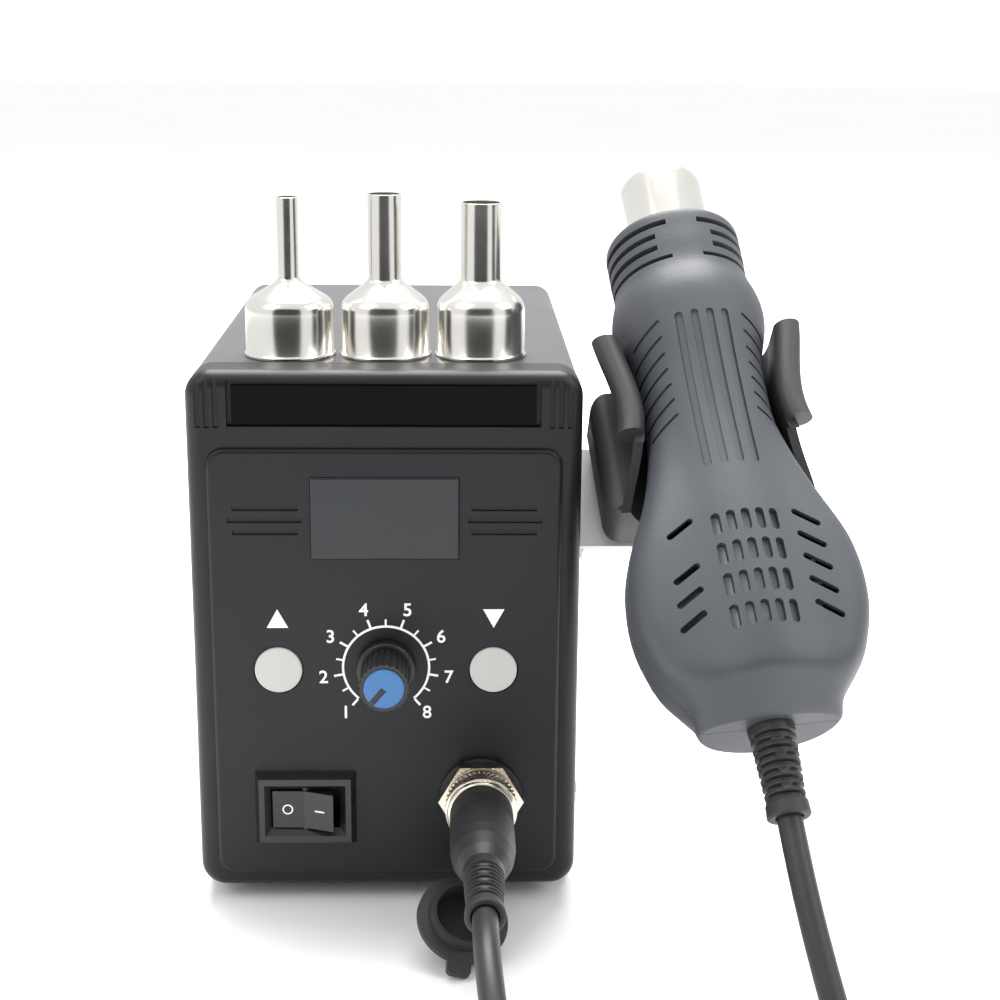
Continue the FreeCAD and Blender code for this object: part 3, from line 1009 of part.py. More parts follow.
def bracket_level():
    """The holder plate's upper face, below the handle's axis."""
    return -(size("barrel_radius") + 0.4 + size("cradle_wall") + 1.2)


def bracket_bolts():
    """Where the holder is screwed to the housing's right side."""
    side = size(SIDE)
    spots = []
    for along in (-78, -92):
        spot = HOLDER.multVec(Vector(0, along, bracket_level() - 12))
        spots.append(Vector(side, spot.y, spot.z))
    return spots


def holder_bracket():
    """Bent steel plate from the housing's side to the cradle's pad, with its screws and nuts."""
    side, thick = size(SIDE), size("bracket_thick")
    level = bracket_level()
    left = side - size("tip_x")
    arm = Part.makeBox(size("tip_x") + 22 - side, 29, thick, Vector(left, -98, level - thick))
    flap = Part.makeBox(thick, 29, 20, Vector(left, -98, level - 20))
    bracket = arm.fuse(flap)
    bracket = bracket.removeSplitter()
    bracket.Placement = HOLDER
    holes = [Part.makeCylinder(size("screw_radius") + 0.1, 10, spot - Vector(5, 0, 0), Vector(1, 0, 0))
             for spot in bracket_bolts()]
    for y in cradle_bolts():
        hole = Part.makeCylinder(size("screw_radius") + 0.1, 6, Vector(0, y, level - 4))
        hole.Placement = HANDLE.multiply(hole.Placement)
        holes.append(hole)
    node("holder_bracket", shaped("holder_plate", bracket.cut(holes)))
    screws, nuts = [], []
    for spot in bracket_bolts():
        head = Part.makeCylinder(3, 2, spot + Vector(thick, 0, 0), Vector(1, 0, 0))
        head = head.makeFillet(1, [e for e in head.Edges if abs(e.CenterOfMass.x - spot.x - thick - 2) < 1e-6])
        screws.append(head.fuse(Part.makeCylinder(size("screw_radius"), thick + 6, spot - Vector(6, 0, 0),
                                                  Vector(1, 0, 0))))
        wall = size("cover_wall")
        nut = Part.makeCylinder(3, 2.4, spot - Vector(wall, 0, 0), Vector(-1, 0, 0))
        nuts.append(nut.cut(Part.makeCylinder(size("screw_radius") + 0.02, 6, spot, Vector(-1, 0, 0))))
    OUTER_SCREWS.append(shaped("bracket_screws_and_nuts", Part.makeCompound(screws + nuts)))
    node("outer_screws", group("outer_screw_set", OUTER_SCREWS))
    bolts = []
    for y in cradle_bolts():
        head = Part.makeCylinder(2.8, 2, Vector(0, y, level - thick), Vector(0, 0, -1))
        shank = Part.makeCylinder(size("screw_radius") - 0.02, thick + 3, Vector(0, y, level - thick))
        bolts.append(head.fuse(shank))
    node("cradle_screws", shaped("cradle_screw_pair", Part.makeCompound(bolts), HANDLE))


# Cord

HANDLE_RUN = [(94.8, -146.8, 38.5), (97.7, -158.6, 25.3), (101, -170, 13), (104, -184.5, 5.0),
              (104.8, -200, 3.0), (102.5, -215, 3.0), (98.5, -228, 3.0)]
PLUG_RUN = [(24.2, -151.7, 30.5), (24.8, -163, 27.2), (26.4, -175, 19), (28.4, -187, 9.8), (29.8, -200, 4.2),
            (30.3, -213, 3.05), (30.0, -226, 3.0)]


def cord_tube(name, start, route):
    """A round cord along straight runs joined by tangent arcs; prints its bend radii and its volume."""
    spots = [start] + [Vector(*spot) for spot in route]
    edges = []
    radii = []
    last = spots[0]
    for before, here, after in zip(spots, spots[1:], spots[2:]):
        back, on = (before - here), (after - here)
        shorter = min(back.Length, on.Length)
        turn = math.pi - back.getAngle(on)
        radius = 0.45 * shorter / math.tan(turn / 2)
        radii.append(radius)
        reach = 0.45 * shorter
        begin, finish = here + back.normalize() * reach, here + on.normalize() * reach
        middle_way = (back + on).normalize()
        middle = here + middle_way * (radius / math.cos(turn / 2) - radius)
        edges.append(Part.LineSegment(last, begin).toShape())
        edges.append(Part.Arc(begin, middle, finish).toShape())
        last = finish
    edges.append(Part.LineSegment(last, spots[-1]).toShape())
    path = Part.Wire(edges)
    across = size("cord_radius")
    ring = Part.Wire([Part.Circle(spots[0], spots[1] - spots[0], across).toShape()])
    tube = path.makePipeShell([ring], True, True)
    ratio = tube.Volume / (math.pi * across ** 2 * path.Length)
    print(name, "length", round(path.Length, 1), "radii", [round(r) for r in radii], "volume ratio", round(ratio, 4))
    node(name, shaped(name + "_tube", tube))


def cords():
    end = HANDLE.multVec(Vector(0, -size("handle_end") - size("handle_relief_length") - size("run_gap"), 0))
    cord_tube("cord_handle_run", end, HANDLE_RUN)
    plug_end = Vector(size("socket_place"), size(plug_tip()), size(SOCKET_Z))
    cord_tube("cord_plug_run", plug_end, PLUG_RUN)
    coil = doc.addObject("Part::Cylinder", "coil_outer")
    hole = doc.addObject("Part::Cylinder", "coil_hole")
    for piece, radius, low, high in ((coil, "coil_radius + 2 * cord_radius", "0", "4 * cord_radius + 0.2"),
                                     (hole, "coil_radius - 2 * cord_radius", "-1", "4 * cord_radius + 2")):
        bind(piece, "Radius", radius)
        bind(piece, "Height", f"({high}) - ({low})")
        bind(piece, "Placement.Base.x", "coil_x")
        bind(piece, "Placement.Base.y", "coil_y")
        bind(piece, "Placement.Base.z", low)
    node("cord_coil", cut("coil_ring", coil, [hole]))


def plug_tip():
    """Where the plug's relief ends, along Y."""
    return f"{PANEL} - 2 * run_gap - strap_thick - nut_thick - run_gap - ring_length - run_gap - plug_length " \
           "- relief_length"


front_bezel()
cover()
base_tray()
front_frame()
rear_panel()
feet_and_cover_screws()
labels_and_window()
keys()
control_board()
air_dial()
rocker_switch()
outlet()
dust_cap()
supply()
nozzles()
shells()
heater()
blower()
handle_boot()
cradle()
holder_bracket()
cords()
doc.recompute()

for thing in doc.Objects:
    if {"Invalid", "Error"} & set(thing.State):
        raise RuntimeError(f"{thing.Name} failed to rebuild: {thing.State}")
os.makedirs("parts", exist_ok=True)
for name, piece in NODES.items():
    shape = piece.Shape
    if shape.isNull() or not shape.isValid() or not shape.Solids:
        raise RuntimeError(f"{name} has no valid solid")
    shape.exportStep(f"parts/{name}.step")
print(len(NODES), "sub-parts written")
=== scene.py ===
"""Bench hot air station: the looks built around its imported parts.

Metres, +Z up, +Y towards the back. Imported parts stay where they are, and new surfaces ride on their bodies.
"""

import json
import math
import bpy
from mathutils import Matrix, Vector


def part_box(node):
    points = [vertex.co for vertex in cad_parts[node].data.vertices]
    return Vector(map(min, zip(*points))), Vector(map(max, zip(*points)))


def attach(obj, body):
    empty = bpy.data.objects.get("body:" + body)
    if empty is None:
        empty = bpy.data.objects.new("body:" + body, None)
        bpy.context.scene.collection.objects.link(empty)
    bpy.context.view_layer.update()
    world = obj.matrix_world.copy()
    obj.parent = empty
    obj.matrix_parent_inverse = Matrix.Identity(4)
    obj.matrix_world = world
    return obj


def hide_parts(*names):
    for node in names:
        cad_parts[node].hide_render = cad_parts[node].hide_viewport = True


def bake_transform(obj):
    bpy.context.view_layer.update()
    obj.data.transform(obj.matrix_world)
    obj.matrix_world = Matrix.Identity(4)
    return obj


bl_info = {
    "name": "Hot Air Station",
    "version": (1, 0, 0),
    "blender": (4, 5, 0),
    "location": "View3D > Sidebar > Hot Air Station",
    "description": "Surfaces, finishes, prints, cord and stage of a bench hot air station",
    "category": "Object",
}

import bmesh
import bpy
import numpy as np
from bpy.props import FloatProperty, FloatVectorProperty, IntProperty, PointerProperty
from mathutils import Matrix, Vector

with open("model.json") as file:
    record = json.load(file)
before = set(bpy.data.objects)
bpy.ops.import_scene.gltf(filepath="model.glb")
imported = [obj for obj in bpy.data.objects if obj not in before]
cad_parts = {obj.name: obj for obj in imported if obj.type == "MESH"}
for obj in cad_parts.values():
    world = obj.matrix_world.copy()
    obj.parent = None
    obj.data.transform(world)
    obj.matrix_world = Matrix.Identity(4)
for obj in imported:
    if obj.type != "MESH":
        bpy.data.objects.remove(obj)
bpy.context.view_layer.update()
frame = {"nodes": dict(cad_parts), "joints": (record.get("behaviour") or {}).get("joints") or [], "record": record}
MM = 0.001
TAU = 2 * math.pi
JOINTS = {joint["name"]: joint for joint in frame["joints"]}

# The handle's own axes: its length towards the nozzle end, and the way it lifts out of the cradle.
CANT = math.radians(6.3)
LIFT = np.array(JOINTS["handle_lift"]["axis"])
TILT = math.atan2(-LIFT[1], LIFT[2])
FORWARD = np.array([-math.sin(CANT), math.cos(CANT) * math.cos(TILT), math.cos(CANT) * math.sin(TILT)])
FAN_AT = 124.5 * MM
RIM = np.array(JOINTS["impeller_spin"]["pos_m"]) + FAN_AT * FORWARD
BOOT_AT = 158.5 * MM
RIGHTWARDS = np.cross(FORWARD, LIFT)
PANEL_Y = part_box("front_bezel")[0].y
SOCKET = np.array(JOINTS["ring_turn"]["pos_m"])
DIAL = np.array(JOINTS["air_turn"]["pos_m"])
KEY_BOXES = {name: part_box(f"{name}_button") for name in ("up", "down")}

# Centre line of the cord, as listed points: out of the handle, down to the desk, and up to the plug.
HANDLE_RUN = [(0.0926, -0.1326, 0.0532), (0.0930, -0.1353, 0.0503), (0.0948, -0.1468, 0.0385),
              (0.0977, -0.1586, 0.0253), (0.1010, -0.1700, 0.0130), (0.1040, -0.1845, 0.0050),
              (0.1048, -0.2000, 0.0030), (0.1025, -0.2150, 0.0030)]
PLUG_RUN = [(0.0300, -0.2130, 0.00305), (0.0298, -0.2000, 0.0042), (0.0284, -0.1870, 0.0098),
            (0.0264, -0.1750, 0.0190), (0.0248, -0.1630, 0.0272), (0.0242, -0.1517, 0.0305),
            (0.0242, -0.1420, 0.0305), (0.0242, -0.1395, 0.0305)]
COIL_CENTRE = np.array([0.066, -0.227])
# Clockwise turn in degrees, radius and height of the winding, in between which the cord runs evenly.
WINDING = [(0, 0.0330, 0.00305), (60, 0.0303, 0.00305), (320, 0.0300, 0.00305), (385, 0.0300, 0.0091),
           (700, 0.0300, 0.0091), (770, 0.0360, 0.0091), (1090, 0.0360, 0.0091), (1165, 0.0361, 0.00305),
           (1250, 0.0361, 0.00305)]
TURN_POINTS = 16
INK_DEPTH = 0.00006
INK_PROUD = 0.00008
DIAL_SWEEP = 140


class StationSizes(bpy.types.PropertyGroup):
    """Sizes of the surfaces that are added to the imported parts."""

    cord: FloatProperty(name="Cord diameter", description="Outside diameter of the handle's cord",
                        default=0.006, min=0.003, max=0.010, unit="LENGTH")
    cord_length: FloatProperty(name="Cord length", description="Length from the handle to the plug",
                               default=0.92, min=0.5, max=2, unit="LENGTH")
    nozzle_wall: FloatProperty(name="Nozzle wall", description="Sheet thickness of the slip-on nozzles",
                               default=0.0005, min=0.0003, max=0.001, unit="LENGTH")
    knurl_depth: FloatProperty(name="Knurl depth", description="Depth of the coupling ring's diamond knurl",
                               default=0.00026, min=0, max=0.0006, unit="LENGTH")
    knurls: IntProperty(name="Knurl count", description="Diamonds round the coupling ring",
                        default=44, min=12, max=90)
    dial_ring: FloatProperty(name="Dial ring", description="Radius of the printed ring round the knob",
                             default=0.0109, min=0.008, max=0.014, unit="LENGTH")
    ink_line: FloatProperty(name="Ink line", description="Width of the printed lines",
                            default=0.00058, min=0.0002, max=0.001, unit="LENGTH")
    numeral: FloatProperty(name="Numeral height", description="Height of the dial's numbers",
                           default=0.0034, min=0.002, max=0.005, unit="LENGTH")


def colour(name, description, value):
    """A colour that the sidebar shows, with its default in linear values."""
    return FloatVectorProperty(name=name, description=description, default=value, size=3, min=0, max=1,
                               subtype="COLOR")


class StationColours(bpy.types.PropertyGroup):
    """Colours of the main finishes."""

    housing: colour("Housing", "Moulded front and its controls' surround", (0.0080, 0.0088, 0.0108))
    cover: colour("Cover", "Powder coat of the sheet cover", (0.046, 0.0475, 0.050))
    handle: colour("Handle", "Moulded handle shells", (0.056, 0.061, 0.070))
    cradle: colour("Cradle", "Moulded handle holder", (0.030, 0.030, 0.031))
    key: colour("Keys", "Round push keys", (0.475, 0.475, 0.455))
    cap: colour("Dial cap", "Cap in the end of the air knob", (0.040, 0.155, 0.365))
    ink: colour("Ink", "Printed marks", (0.86, 0.86, 0.86))
    cord: colour("Cord", "Jacket of the cord", (0.018, 0.0195, 0.022))


# Finishes

def add_node(tree, kind, **values):
    """A shader node with its plain values and its sockets set."""
    made = tree.nodes.new(kind)
    for key, value in values.items():
        if hasattr(made, key):
            setattr(made, key, value)
        else:
            made.inputs[key.replace("_", " ")].default_value = value
    return made


def ranged(tree, source, low, high):
    """The source's middle values, 0.3 to 0.7, spread over low to high."""
    made = add_node(tree, "ShaderNodeMapRange", From_Min=0.3, From_Max=0.7, To_Min=low, To_Max=high)
    tree.links.new(source, made.inputs["Value"])
    return made.outputs["Result"]


def finish(name, base, rough, metal=0.0, drift=0.12, spread=0.06, patch=38.0, grain=None, pebble=None,
           streak=None, **shader_values):
    """A finish whose shade and gloss drift over soft patches, under fine relief.

    grain and pebble are (cells per metre, height); streak is (lines per metre, height, run axis), where the
    pattern is stretched eighty times along the run axis.
    """
    material = bpy.data.materials.new(name)
    material.use_nodes = True
    tree = material.node_tree
    tree.nodes.clear()
    link = tree.links.new
    output = add_node(tree, "ShaderNodeOutputMaterial")
    shader = add_node(tree, "ShaderNodeBsdfPrincipled")
    shader.inputs["Metallic"].default_value = metal
    for key, value in shader_values.items():
        shader.inputs[key.replace("_", " ")].default_value = value
    link(shader.outputs["BSDF"], output.inputs["Surface"])
    place = add_node(tree, "ShaderNodeTexCoord").outputs["Object"]
    clouds = add_node(tree, "ShaderNodeTexNoise", Scale=patch, Detail=4.0, Roughness=0.6)
    link(place, clouds.inputs["Vector"])
    shades = add_node(tree, "ShaderNodeMix", data_type="RGBA")
    link(ranged(tree, clouds.outputs["Fac"], 0.0, 1.0), shades.inputs["Factor"])
    for socket, share in (("A", 1 - drift), ("B", 1 + drift)):
        mixed = [s for s in shades.inputs if s.name == socket and s.type == "RGBA"][0]
        mixed.default_value = [min(1.0, channel * share) for channel in base] + [1.0]
    link([s for s in shades.outputs if s.type == "RGBA"][0], shader.inputs["Base Color"])
    gloss = clouds.outputs["Fac"]
    height = None
    if streak:
        scale, depth, axis = streak
        stretch = [1.0, 1.0, 1.0]
        stretch["XYZ".index(axis)] = 1 / 80
        lie = add_node(tree, "ShaderNodeMapping", Scale=stretch)
        link(place, lie.inputs["Vector"])
        lines = add_node(tree, "ShaderNodeTexNoise", Scale=scale, Detail=3.0, Roughness=0.7)
        link(lie.outputs["Vector"], lines.inputs["Vector"])
        gloss = lines.outputs["Fac"]
        height = relief(tree, lines.outputs["Fac"], depth, height)
    if grain:
        scale, depth = grain
        specks = add_node(tree, "ShaderNodeTexNoise", Scale=scale, Detail=2.0, Roughness=0.55)
        link(place, specks.inputs["Vector"])
        height = relief(tree, specks.outputs["Fac"], depth, height)
    if pebble:
        scale, depth = pebble
        cells = add_node(tree, "ShaderNodeTexVoronoi", feature="SMOOTH_F1", Scale=scale, Smoothness=0.6)
        link(place, cells.inputs["Vector"])
        height = relief(tree, cells.outputs["Distance"], depth, height)
    gloss = ranged(tree, gloss, max(0.02, rough - spread), min(1.0, rough + spread))
    link(gloss, shader.inputs["Roughness"])
    if height:
        link(height, shader.inputs["Normal"])
    return material


def relief(tree, source, depth, under):
    """A bump of that depth in metres, laid over the one under it."""
    made = add_node(tree, "ShaderNodeBump", Strength=1.0, Distance=depth)
    tree.links.new(source, made.inputs["Height"])
    if under:
        tree.links.new(under, made.inputs["Normal"])
    return made.outputs["Normal"]


def make_finishes(tint):
    """One finish for each material slot of the record."""
    plain = dict(drift=0.1, spread=0.05)
    moulded = dict(grain=(2600, 1.6e-5), **plain)
    table = {
        "housing_plastic": dict(base=tint.housing, rough=0.42, grain=(3000, 1.2e-5), drift=0.08, spread=0.05,
                                Specular_IOR_Level=0.32),
        "cover_paint": dict(base=tint.cover, rough=0.31, pebble=(1500, 1.6e-5), drift=0.08, spread=0.04),
        "bare_steel": dict(base=(0.56, 0.56, 0.54), rough=0.30, metal=1.0, streak=(900, 4e-6, "X"), drift=0.1),
        "bright_steel": dict(base=(0.76, 0.745, 0.70), rough=0.20, metal=1.0, grain=(2600, 2e-6), drift=0.03,
                             spread=0.03, patch=60.0),
        "nickel": dict(base=(0.74, 0.69, 0.59), rough=0.20, metal=1.0, grain=(3200, 4e-6), drift=0.12,
                       spread=0.08, patch=160.0),
        "name_plate": dict(base=(0.0032, 0.0034, 0.0042), rough=0.34, drift=0.1, spread=0.03,
                           Specular_IOR_Level=0.06),
        "lens": dict(base=(0.022, 0.025, 0.028), rough=0.16, drift=0.06, spread=0.04, Coat_Weight=0.1,
                     Coat_Roughness=0.06, Specular_IOR_Level=0.25),
        "display": dict(base=(0.09, 0.10, 0.10), rough=0.4, **plain),
        "key": dict(base=tint.key, rough=0.46, grain=(2400, 1.0e-5), drift=0.03, spread=0.04),
        "knob": dict(base=(0.014, 0.014, 0.016), rough=0.36, **moulded),
        "blue_cap": dict(base=tint.cap, rough=0.42, grain=(2400, 0.8e-5), drift=0.05, spread=0.05),
        "switch": dict(base=(0.013, 0.013, 0.014), rough=0.30, **moulded),
        "board": dict(base=(0.020, 0.110, 0.050), rough=0.40, grain=(1600, 1.5e-5), patch=420.0, drift=0.35,
                      spread=0.08),
        "black_plastic": dict(base=(0.018, 0.018, 0.020), rough=0.45, **moulded),
        "rubber": dict(base=(0.0175, 0.018, 0.0195), rough=0.52, pebble=(2200, 2.4e-5), drift=0.18,
                       spread=0.08),
        "cord": dict(base=tint.cord, rough=0.45, grain=(1800, 1.2e-5), drift=0.1, spread=0.06),
        "handle_plastic": dict(base=tint.handle, rough=0.50, grain=(2300, 2.6e-5), pebble=(1700, 1.8e-5),
                               drift=0.06, spread=0.05),
        "cradle_plastic": dict(base=tint.cradle, rough=0.46, grain=(2000, 3.0e-5), drift=0.1, spread=0.06),
        "copper": dict(base=(0.66, 0.27, 0.11), rough=0.28, metal=1.0, streak=(1500, 3e-5, "X"), drift=0.2),
        "iron": dict(base=(0.17, 0.17, 0.18), rough=0.5, metal=0.8, streak=(1300, 3e-5, "X"), drift=0.2),
        "aluminium": dict(base=(0.66, 0.67, 0.68), rough=0.35, metal=1.0, streak=(900, 6e-6, "Y"), drift=0.06),
        "ceramic": dict(base=(0.74, 0.71, 0.64), rough=0.6, **moulded),
        "mica": dict(base=(0.55, 0.49, 0.36), rough=0.35, patch=300.0, drift=0.2, spread=0.1),
        # The bracket's near-white colour and low metal are painted reflection: they stand in for the bright
        # surroundings that its bare steel reflects.
        "bracket": dict(base=(0.96, 0.96, 0.95), rough=0.42, metal=0.1, streak=(900, 4e-6, "Y"), drift=0.03),
        "impeller_plastic": dict(base=(0.50, 0.51, 0.52), rough=0.42, **moulded),
    }
    finishes = {slot: finish(slot + "_finish", **values) for slot, values in table.items()}
    finishes["ink"] = finish("ink_finish", tint.ink, 0.5, drift=0.03, spread=0.05, grain=(3200, 0.6e-5))
    return finishes


def finish_of(slot):
    """The finish made for a slot, or for a named finish of one piece."""
    return bpy.data.materials[slot + "_finish"]


# Surfaces

def unit(vector):
    """The vector over its own length."""
    vector = np.asarray(vector, float)
    return vector / np.linalg.norm(vector)


def eased(points, reach, steps=6):
    """A polyline with rounded corners: within reach of a corner it follows the parabola whose ends lie on
    the two runs and whose tangents meet at the corner."""
    points = np.array(points, float)
    share = np.linspace(0, 1, steps)[:, None]
    rounded = [points[:1]]
    for before, corner, after in zip(points, points[1:], points[2:]):
        back, ahead = before - corner, after - corner
        start = corner + back * min(0.48, reach / np.linalg.norm(back))
        end = corner + ahead * min(0.48, reach / np.linalg.norm(ahead))
        rounded.append((1 - share) ** 2 * start + 2 * share * (1 - share) * corner + share ** 2 * end)
    return np.concatenate(rounded + [points[-1:]])


def lathe(profile, columns, shape=None):
    """A profile of radius and height turned about its axis: row i, column j lies at radius r(i), height h(i)
    and angle 2 pi j / columns. shape changes the radius, given radius, height and angle."""
    profile = np.asarray(profile, float)
    angle = np.arange(columns) * TAU / columns
    radius = np.repeat(profile[:, :1], columns, axis=1)
    height = np.repeat(profile[:, 1:], columns, axis=1)
    if shape:
        radius = shape(radius, height, angle[None, :])
    return np.stack([radius * np.cos(angle), radius * np.sin(angle), height], axis=-1)


def placed(points, origin, axis, up=(0, 0, 1)):
    """Points carried to the frame at origin whose third axis is axis, and whose second leans towards up."""
    third = unit(axis)
    first = unit(np.cross(up, third))
    return np.asarray(origin) + points @ np.stack([first, np.cross(third, first), third])


def piece(name, mesh, body, slot, finish_name=None, sharp=35.0):
    """An object at the origin that rides on a body and takes its finish from a slot."""
    made = bpy.data.objects.new(name, mesh)
    bpy.context.scene.collection.objects.link(made)
    mesh.materials.clear()
    mesh.materials.append(finish_of(finish_name or slot))
    mesh.shade_smooth()
    mesh.set_sharp_from_angle(angle=math.radians(sharp))
    if body:
        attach(made, body)
    return made


def grid_mesh(name, points, round_columns=True, round_rows=False):
    """A mesh on a grid of points: each cell between two rows and two columns is one face, the last column
    joins the first, and so may the last row; points that coincide are merged, and faces turned outwards."""
    rows, columns = points.shape[:2]
    index = np.arange(rows * columns).reshape(rows, columns)
    if round_columns:
        index = np.concatenate([index, index[:, :1]], axis=1)
    if round_rows:
        index = np.concatenate([index, index[:1]], axis=0)
    faces = np.stack([index[:-1, :-1], index[:-1, 1:], index[1:, 1:], index[1:, :-1]], axis=-1)
    mesh = bpy.data.meshes.new(name)
    mesh.from_pydata(points.reshape(-1, 3).tolist(), [], faces.reshape(-1, 4).tolist())
    work = bmesh.new()
    work.from_mesh(mesh)
    bmesh.ops.remove_doubles(work, verts=work.verts, dist=1e-7)
    bmesh.ops.recalc_face_normals(work, faces=work.faces)
    work.to_mesh(mesh)
    work.free()
    return mesh


def tube_points(line, radius, sides=20):
    """A ring of points round each point of a line: its plane is square to the line, and its start is carried
    along from the first ring by taking out, at each step, the part of it that points along the line."""
    ahead = np.gradient(line, axis=0)
    ahead /= np.linalg.norm(ahead, axis=1)[:, None]
    across = np.zeros_like(ahead)
    across[0] = unit(np.cross(ahead[0], (1, 0, 0)))
    for step in range(1, len(line)):
        across[step] = unit(across[step - 1] - ahead[step] * (across[step - 1] @ ahead[step]))
    other = np.cross(ahead, across)
    angle = np.arange(sides) * TAU / sides
    ring = across[:, None] * np.cos(angle)[:, None] + other[:, None] * np.sin(angle)[:, None]
    caps = [np.repeat(line[end][None, None], sides, axis=1) for end in (0, -1)]
    return np.concatenate([caps[0], line[:, None] + radius * ring, caps[1]])


def flat_mesh(name, outlines, matrix, thickness=INK_DEPTH):
    """Ink: flat outlines in a plane, each given thickness towards its back, carried by the matrix."""
    work = bmesh.new()
    for outline in outlines:
        corners = [work.verts.new((x, y, 0)) for x, y in outline]
        work.faces.new(corners)
    bmesh.ops.triangulate(work, faces=work.faces)
    bmesh.ops.recalc_face_normals(work, faces=work.faces)
    for face in work.faces:
        if face.normal.z < 0:
            face.normal_flip()
    thicken(work, thickness)
    work.transform(matrix)
    mesh = bpy.data.meshes.new(name)
    work.to_mesh(mesh)
    work.free()
    return mesh


def thicken(work, thickness):
    """Turns open flat faces into a closed sheet that reaches back by the thickness."""
    top = list(work.faces)
    grown = bmesh.ops.extrude_face_region(work, geom=top, use_keep_orig=True)
    moved = [item for item in grown["geom"] if isinstance(item, bmesh.types.BMVert)]
    bmesh.ops.translate(work, verts=moved, vec=(0, 0, -thickness))
    bmesh.ops.recalc_face_normals(work, faces=work.faces)


def arc_outline(radius, width, start, end, steps=72):
    """A band along a circle between two angles in degrees, clockwise from the top."""
    angle = np.radians(np.linspace(start, end, steps))
    ring = np.stack([np.sin(angle), np.cos(angle)], axis=1)
    return np.concatenate([ring * (radius + width / 2), ring[::-1] * (radius - width / 2)]).tolist()


def tick_outline(low, high, width, turn):
    """A straight mark from one radius to another, at an angle in degrees clockwise from the top."""
    along = np.array([math.sin(math.radians(turn)), math.cos(math.radians(turn))])
    side = np.array([along[1], -along[0]]) * width / 2
    return [(along * low + side).tolist(), (along * high + side).tolist(),
            (along * high - side).tolist(), (along * low - side).tolist()]


def numeral_mesh(text, height, x, y, matrix):
    """A number as thin ink, centred at x and y of the print's plane."""
    letters = bpy.data.curves.new("numeral", "FONT")
    letters.body = text
    letters.size = height / 0.72
    letters.align_x, letters.align_y = "CENTER", "CENTER"
    letters.resolution_u = 6
    letters.offset = height * 0.02
    carrier = bpy.data.objects.new("numeral", letters)
    mesh = bpy.data.meshes.new_from_object(carrier)
    bpy.data.objects.remove(carrier)
    bpy.data.curves.remove(letters)
    work = bmesh.new()
    work.from_mesh(mesh)
    bmesh.ops.remove_doubles(work, verts=work.verts, dist=1e-7)
    thicken(work, INK_DEPTH)
    work.transform(matrix @ Matrix.Translation((x, y, 0)))
    work.to_mesh(mesh)
    work.free()
    return mesh


def joined(name, meshes):
    """Several meshes as one."""
    work = bmesh.new()
    for mesh in meshes:
        work.from_mesh(mesh)
        bpy.data.meshes.remove(mesh)
    made = bpy.data.meshes.new(name)
    work.to_mesh(made)
    work.free()
    return made


def facing_front(x, y, z):
    """Carries a print drawn in the XY plane to an upright plane that faces the front."""
    return Matrix.Translation((x, y, z)) @ Matrix.Rotation(math.pi / 2, 4, "X")


# Operators

class PieceOperator:
    """Runs make with the scene's sizes and colours."""

    bl_options = {"REGISTER", "UNDO"}

    def execute(self, context):
        self.make(context.scene.station_sizes, context.scene.station_colours)
        return {"FINISHED"}


class STATION_OT_camera(PieceOperator, bpy.types.Operator):
    """Set the camera a little above the housing, level with its top, in front of it"""

    bl_idname = "station.camera"
    bl_label = "Camera"

    def make(self, sizes, colours):
        pitch, yaw, roll = (math.radians(angle) for angle in (15.1366, 1.6028, 0.489))
        forward = np.array([math.sin(yaw) * math.cos(pitch), math.cos(yaw) * math.cos(pitch),
                            -math.sin(pitch)])
        level = np.array([math.cos(yaw), -math.sin(yaw), 0])
        above = np.cross(level, forward)
        right = math.cos(roll) * level + math.sin(roll) * above
        up = math.cos(roll) * above - math.sin(roll) * level
        data = bpy.data.cameras.new("station_camera")
        data.sensor_width, data.lens = 36.0, 64.14
        data.clip_start, data.clip_end = 0.01, 30.0
        camera = bpy.data.objects.new("station_camera", data)
        turn = Matrix(np.stack([right, up, -forward], axis=1).tolist()).to_4x4()
        camera.matrix_world = Matrix.Translation((0.016616, -0.501963, 0.224890)) @ turn
        bpy.context.scene.collection.objects.link(camera)
        bpy.context.scene.camera = camera


class STATION_OT_finishes(PieceOperator, bpy.types.Operator):
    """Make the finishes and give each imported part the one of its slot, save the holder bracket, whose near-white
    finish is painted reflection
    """

    bl_idname = "station.finishes"
    bl_label = "Finishes"

    def make(self, sizes, colours):
        make_finishes(colours)
        for row in frame["record"]["subparts"]:
            part = frame["nodes"][row["node"]]
            part.data.materials.clear()
            # The holder bracket takes the bracket finish, not its slot's one; that finish's near-white colour is
            # painted reflection.
            bright = row["node"] == "holder_bracket"
            part.data.materials.append(finish_of("bracket" if bright else row["material_slot"]))


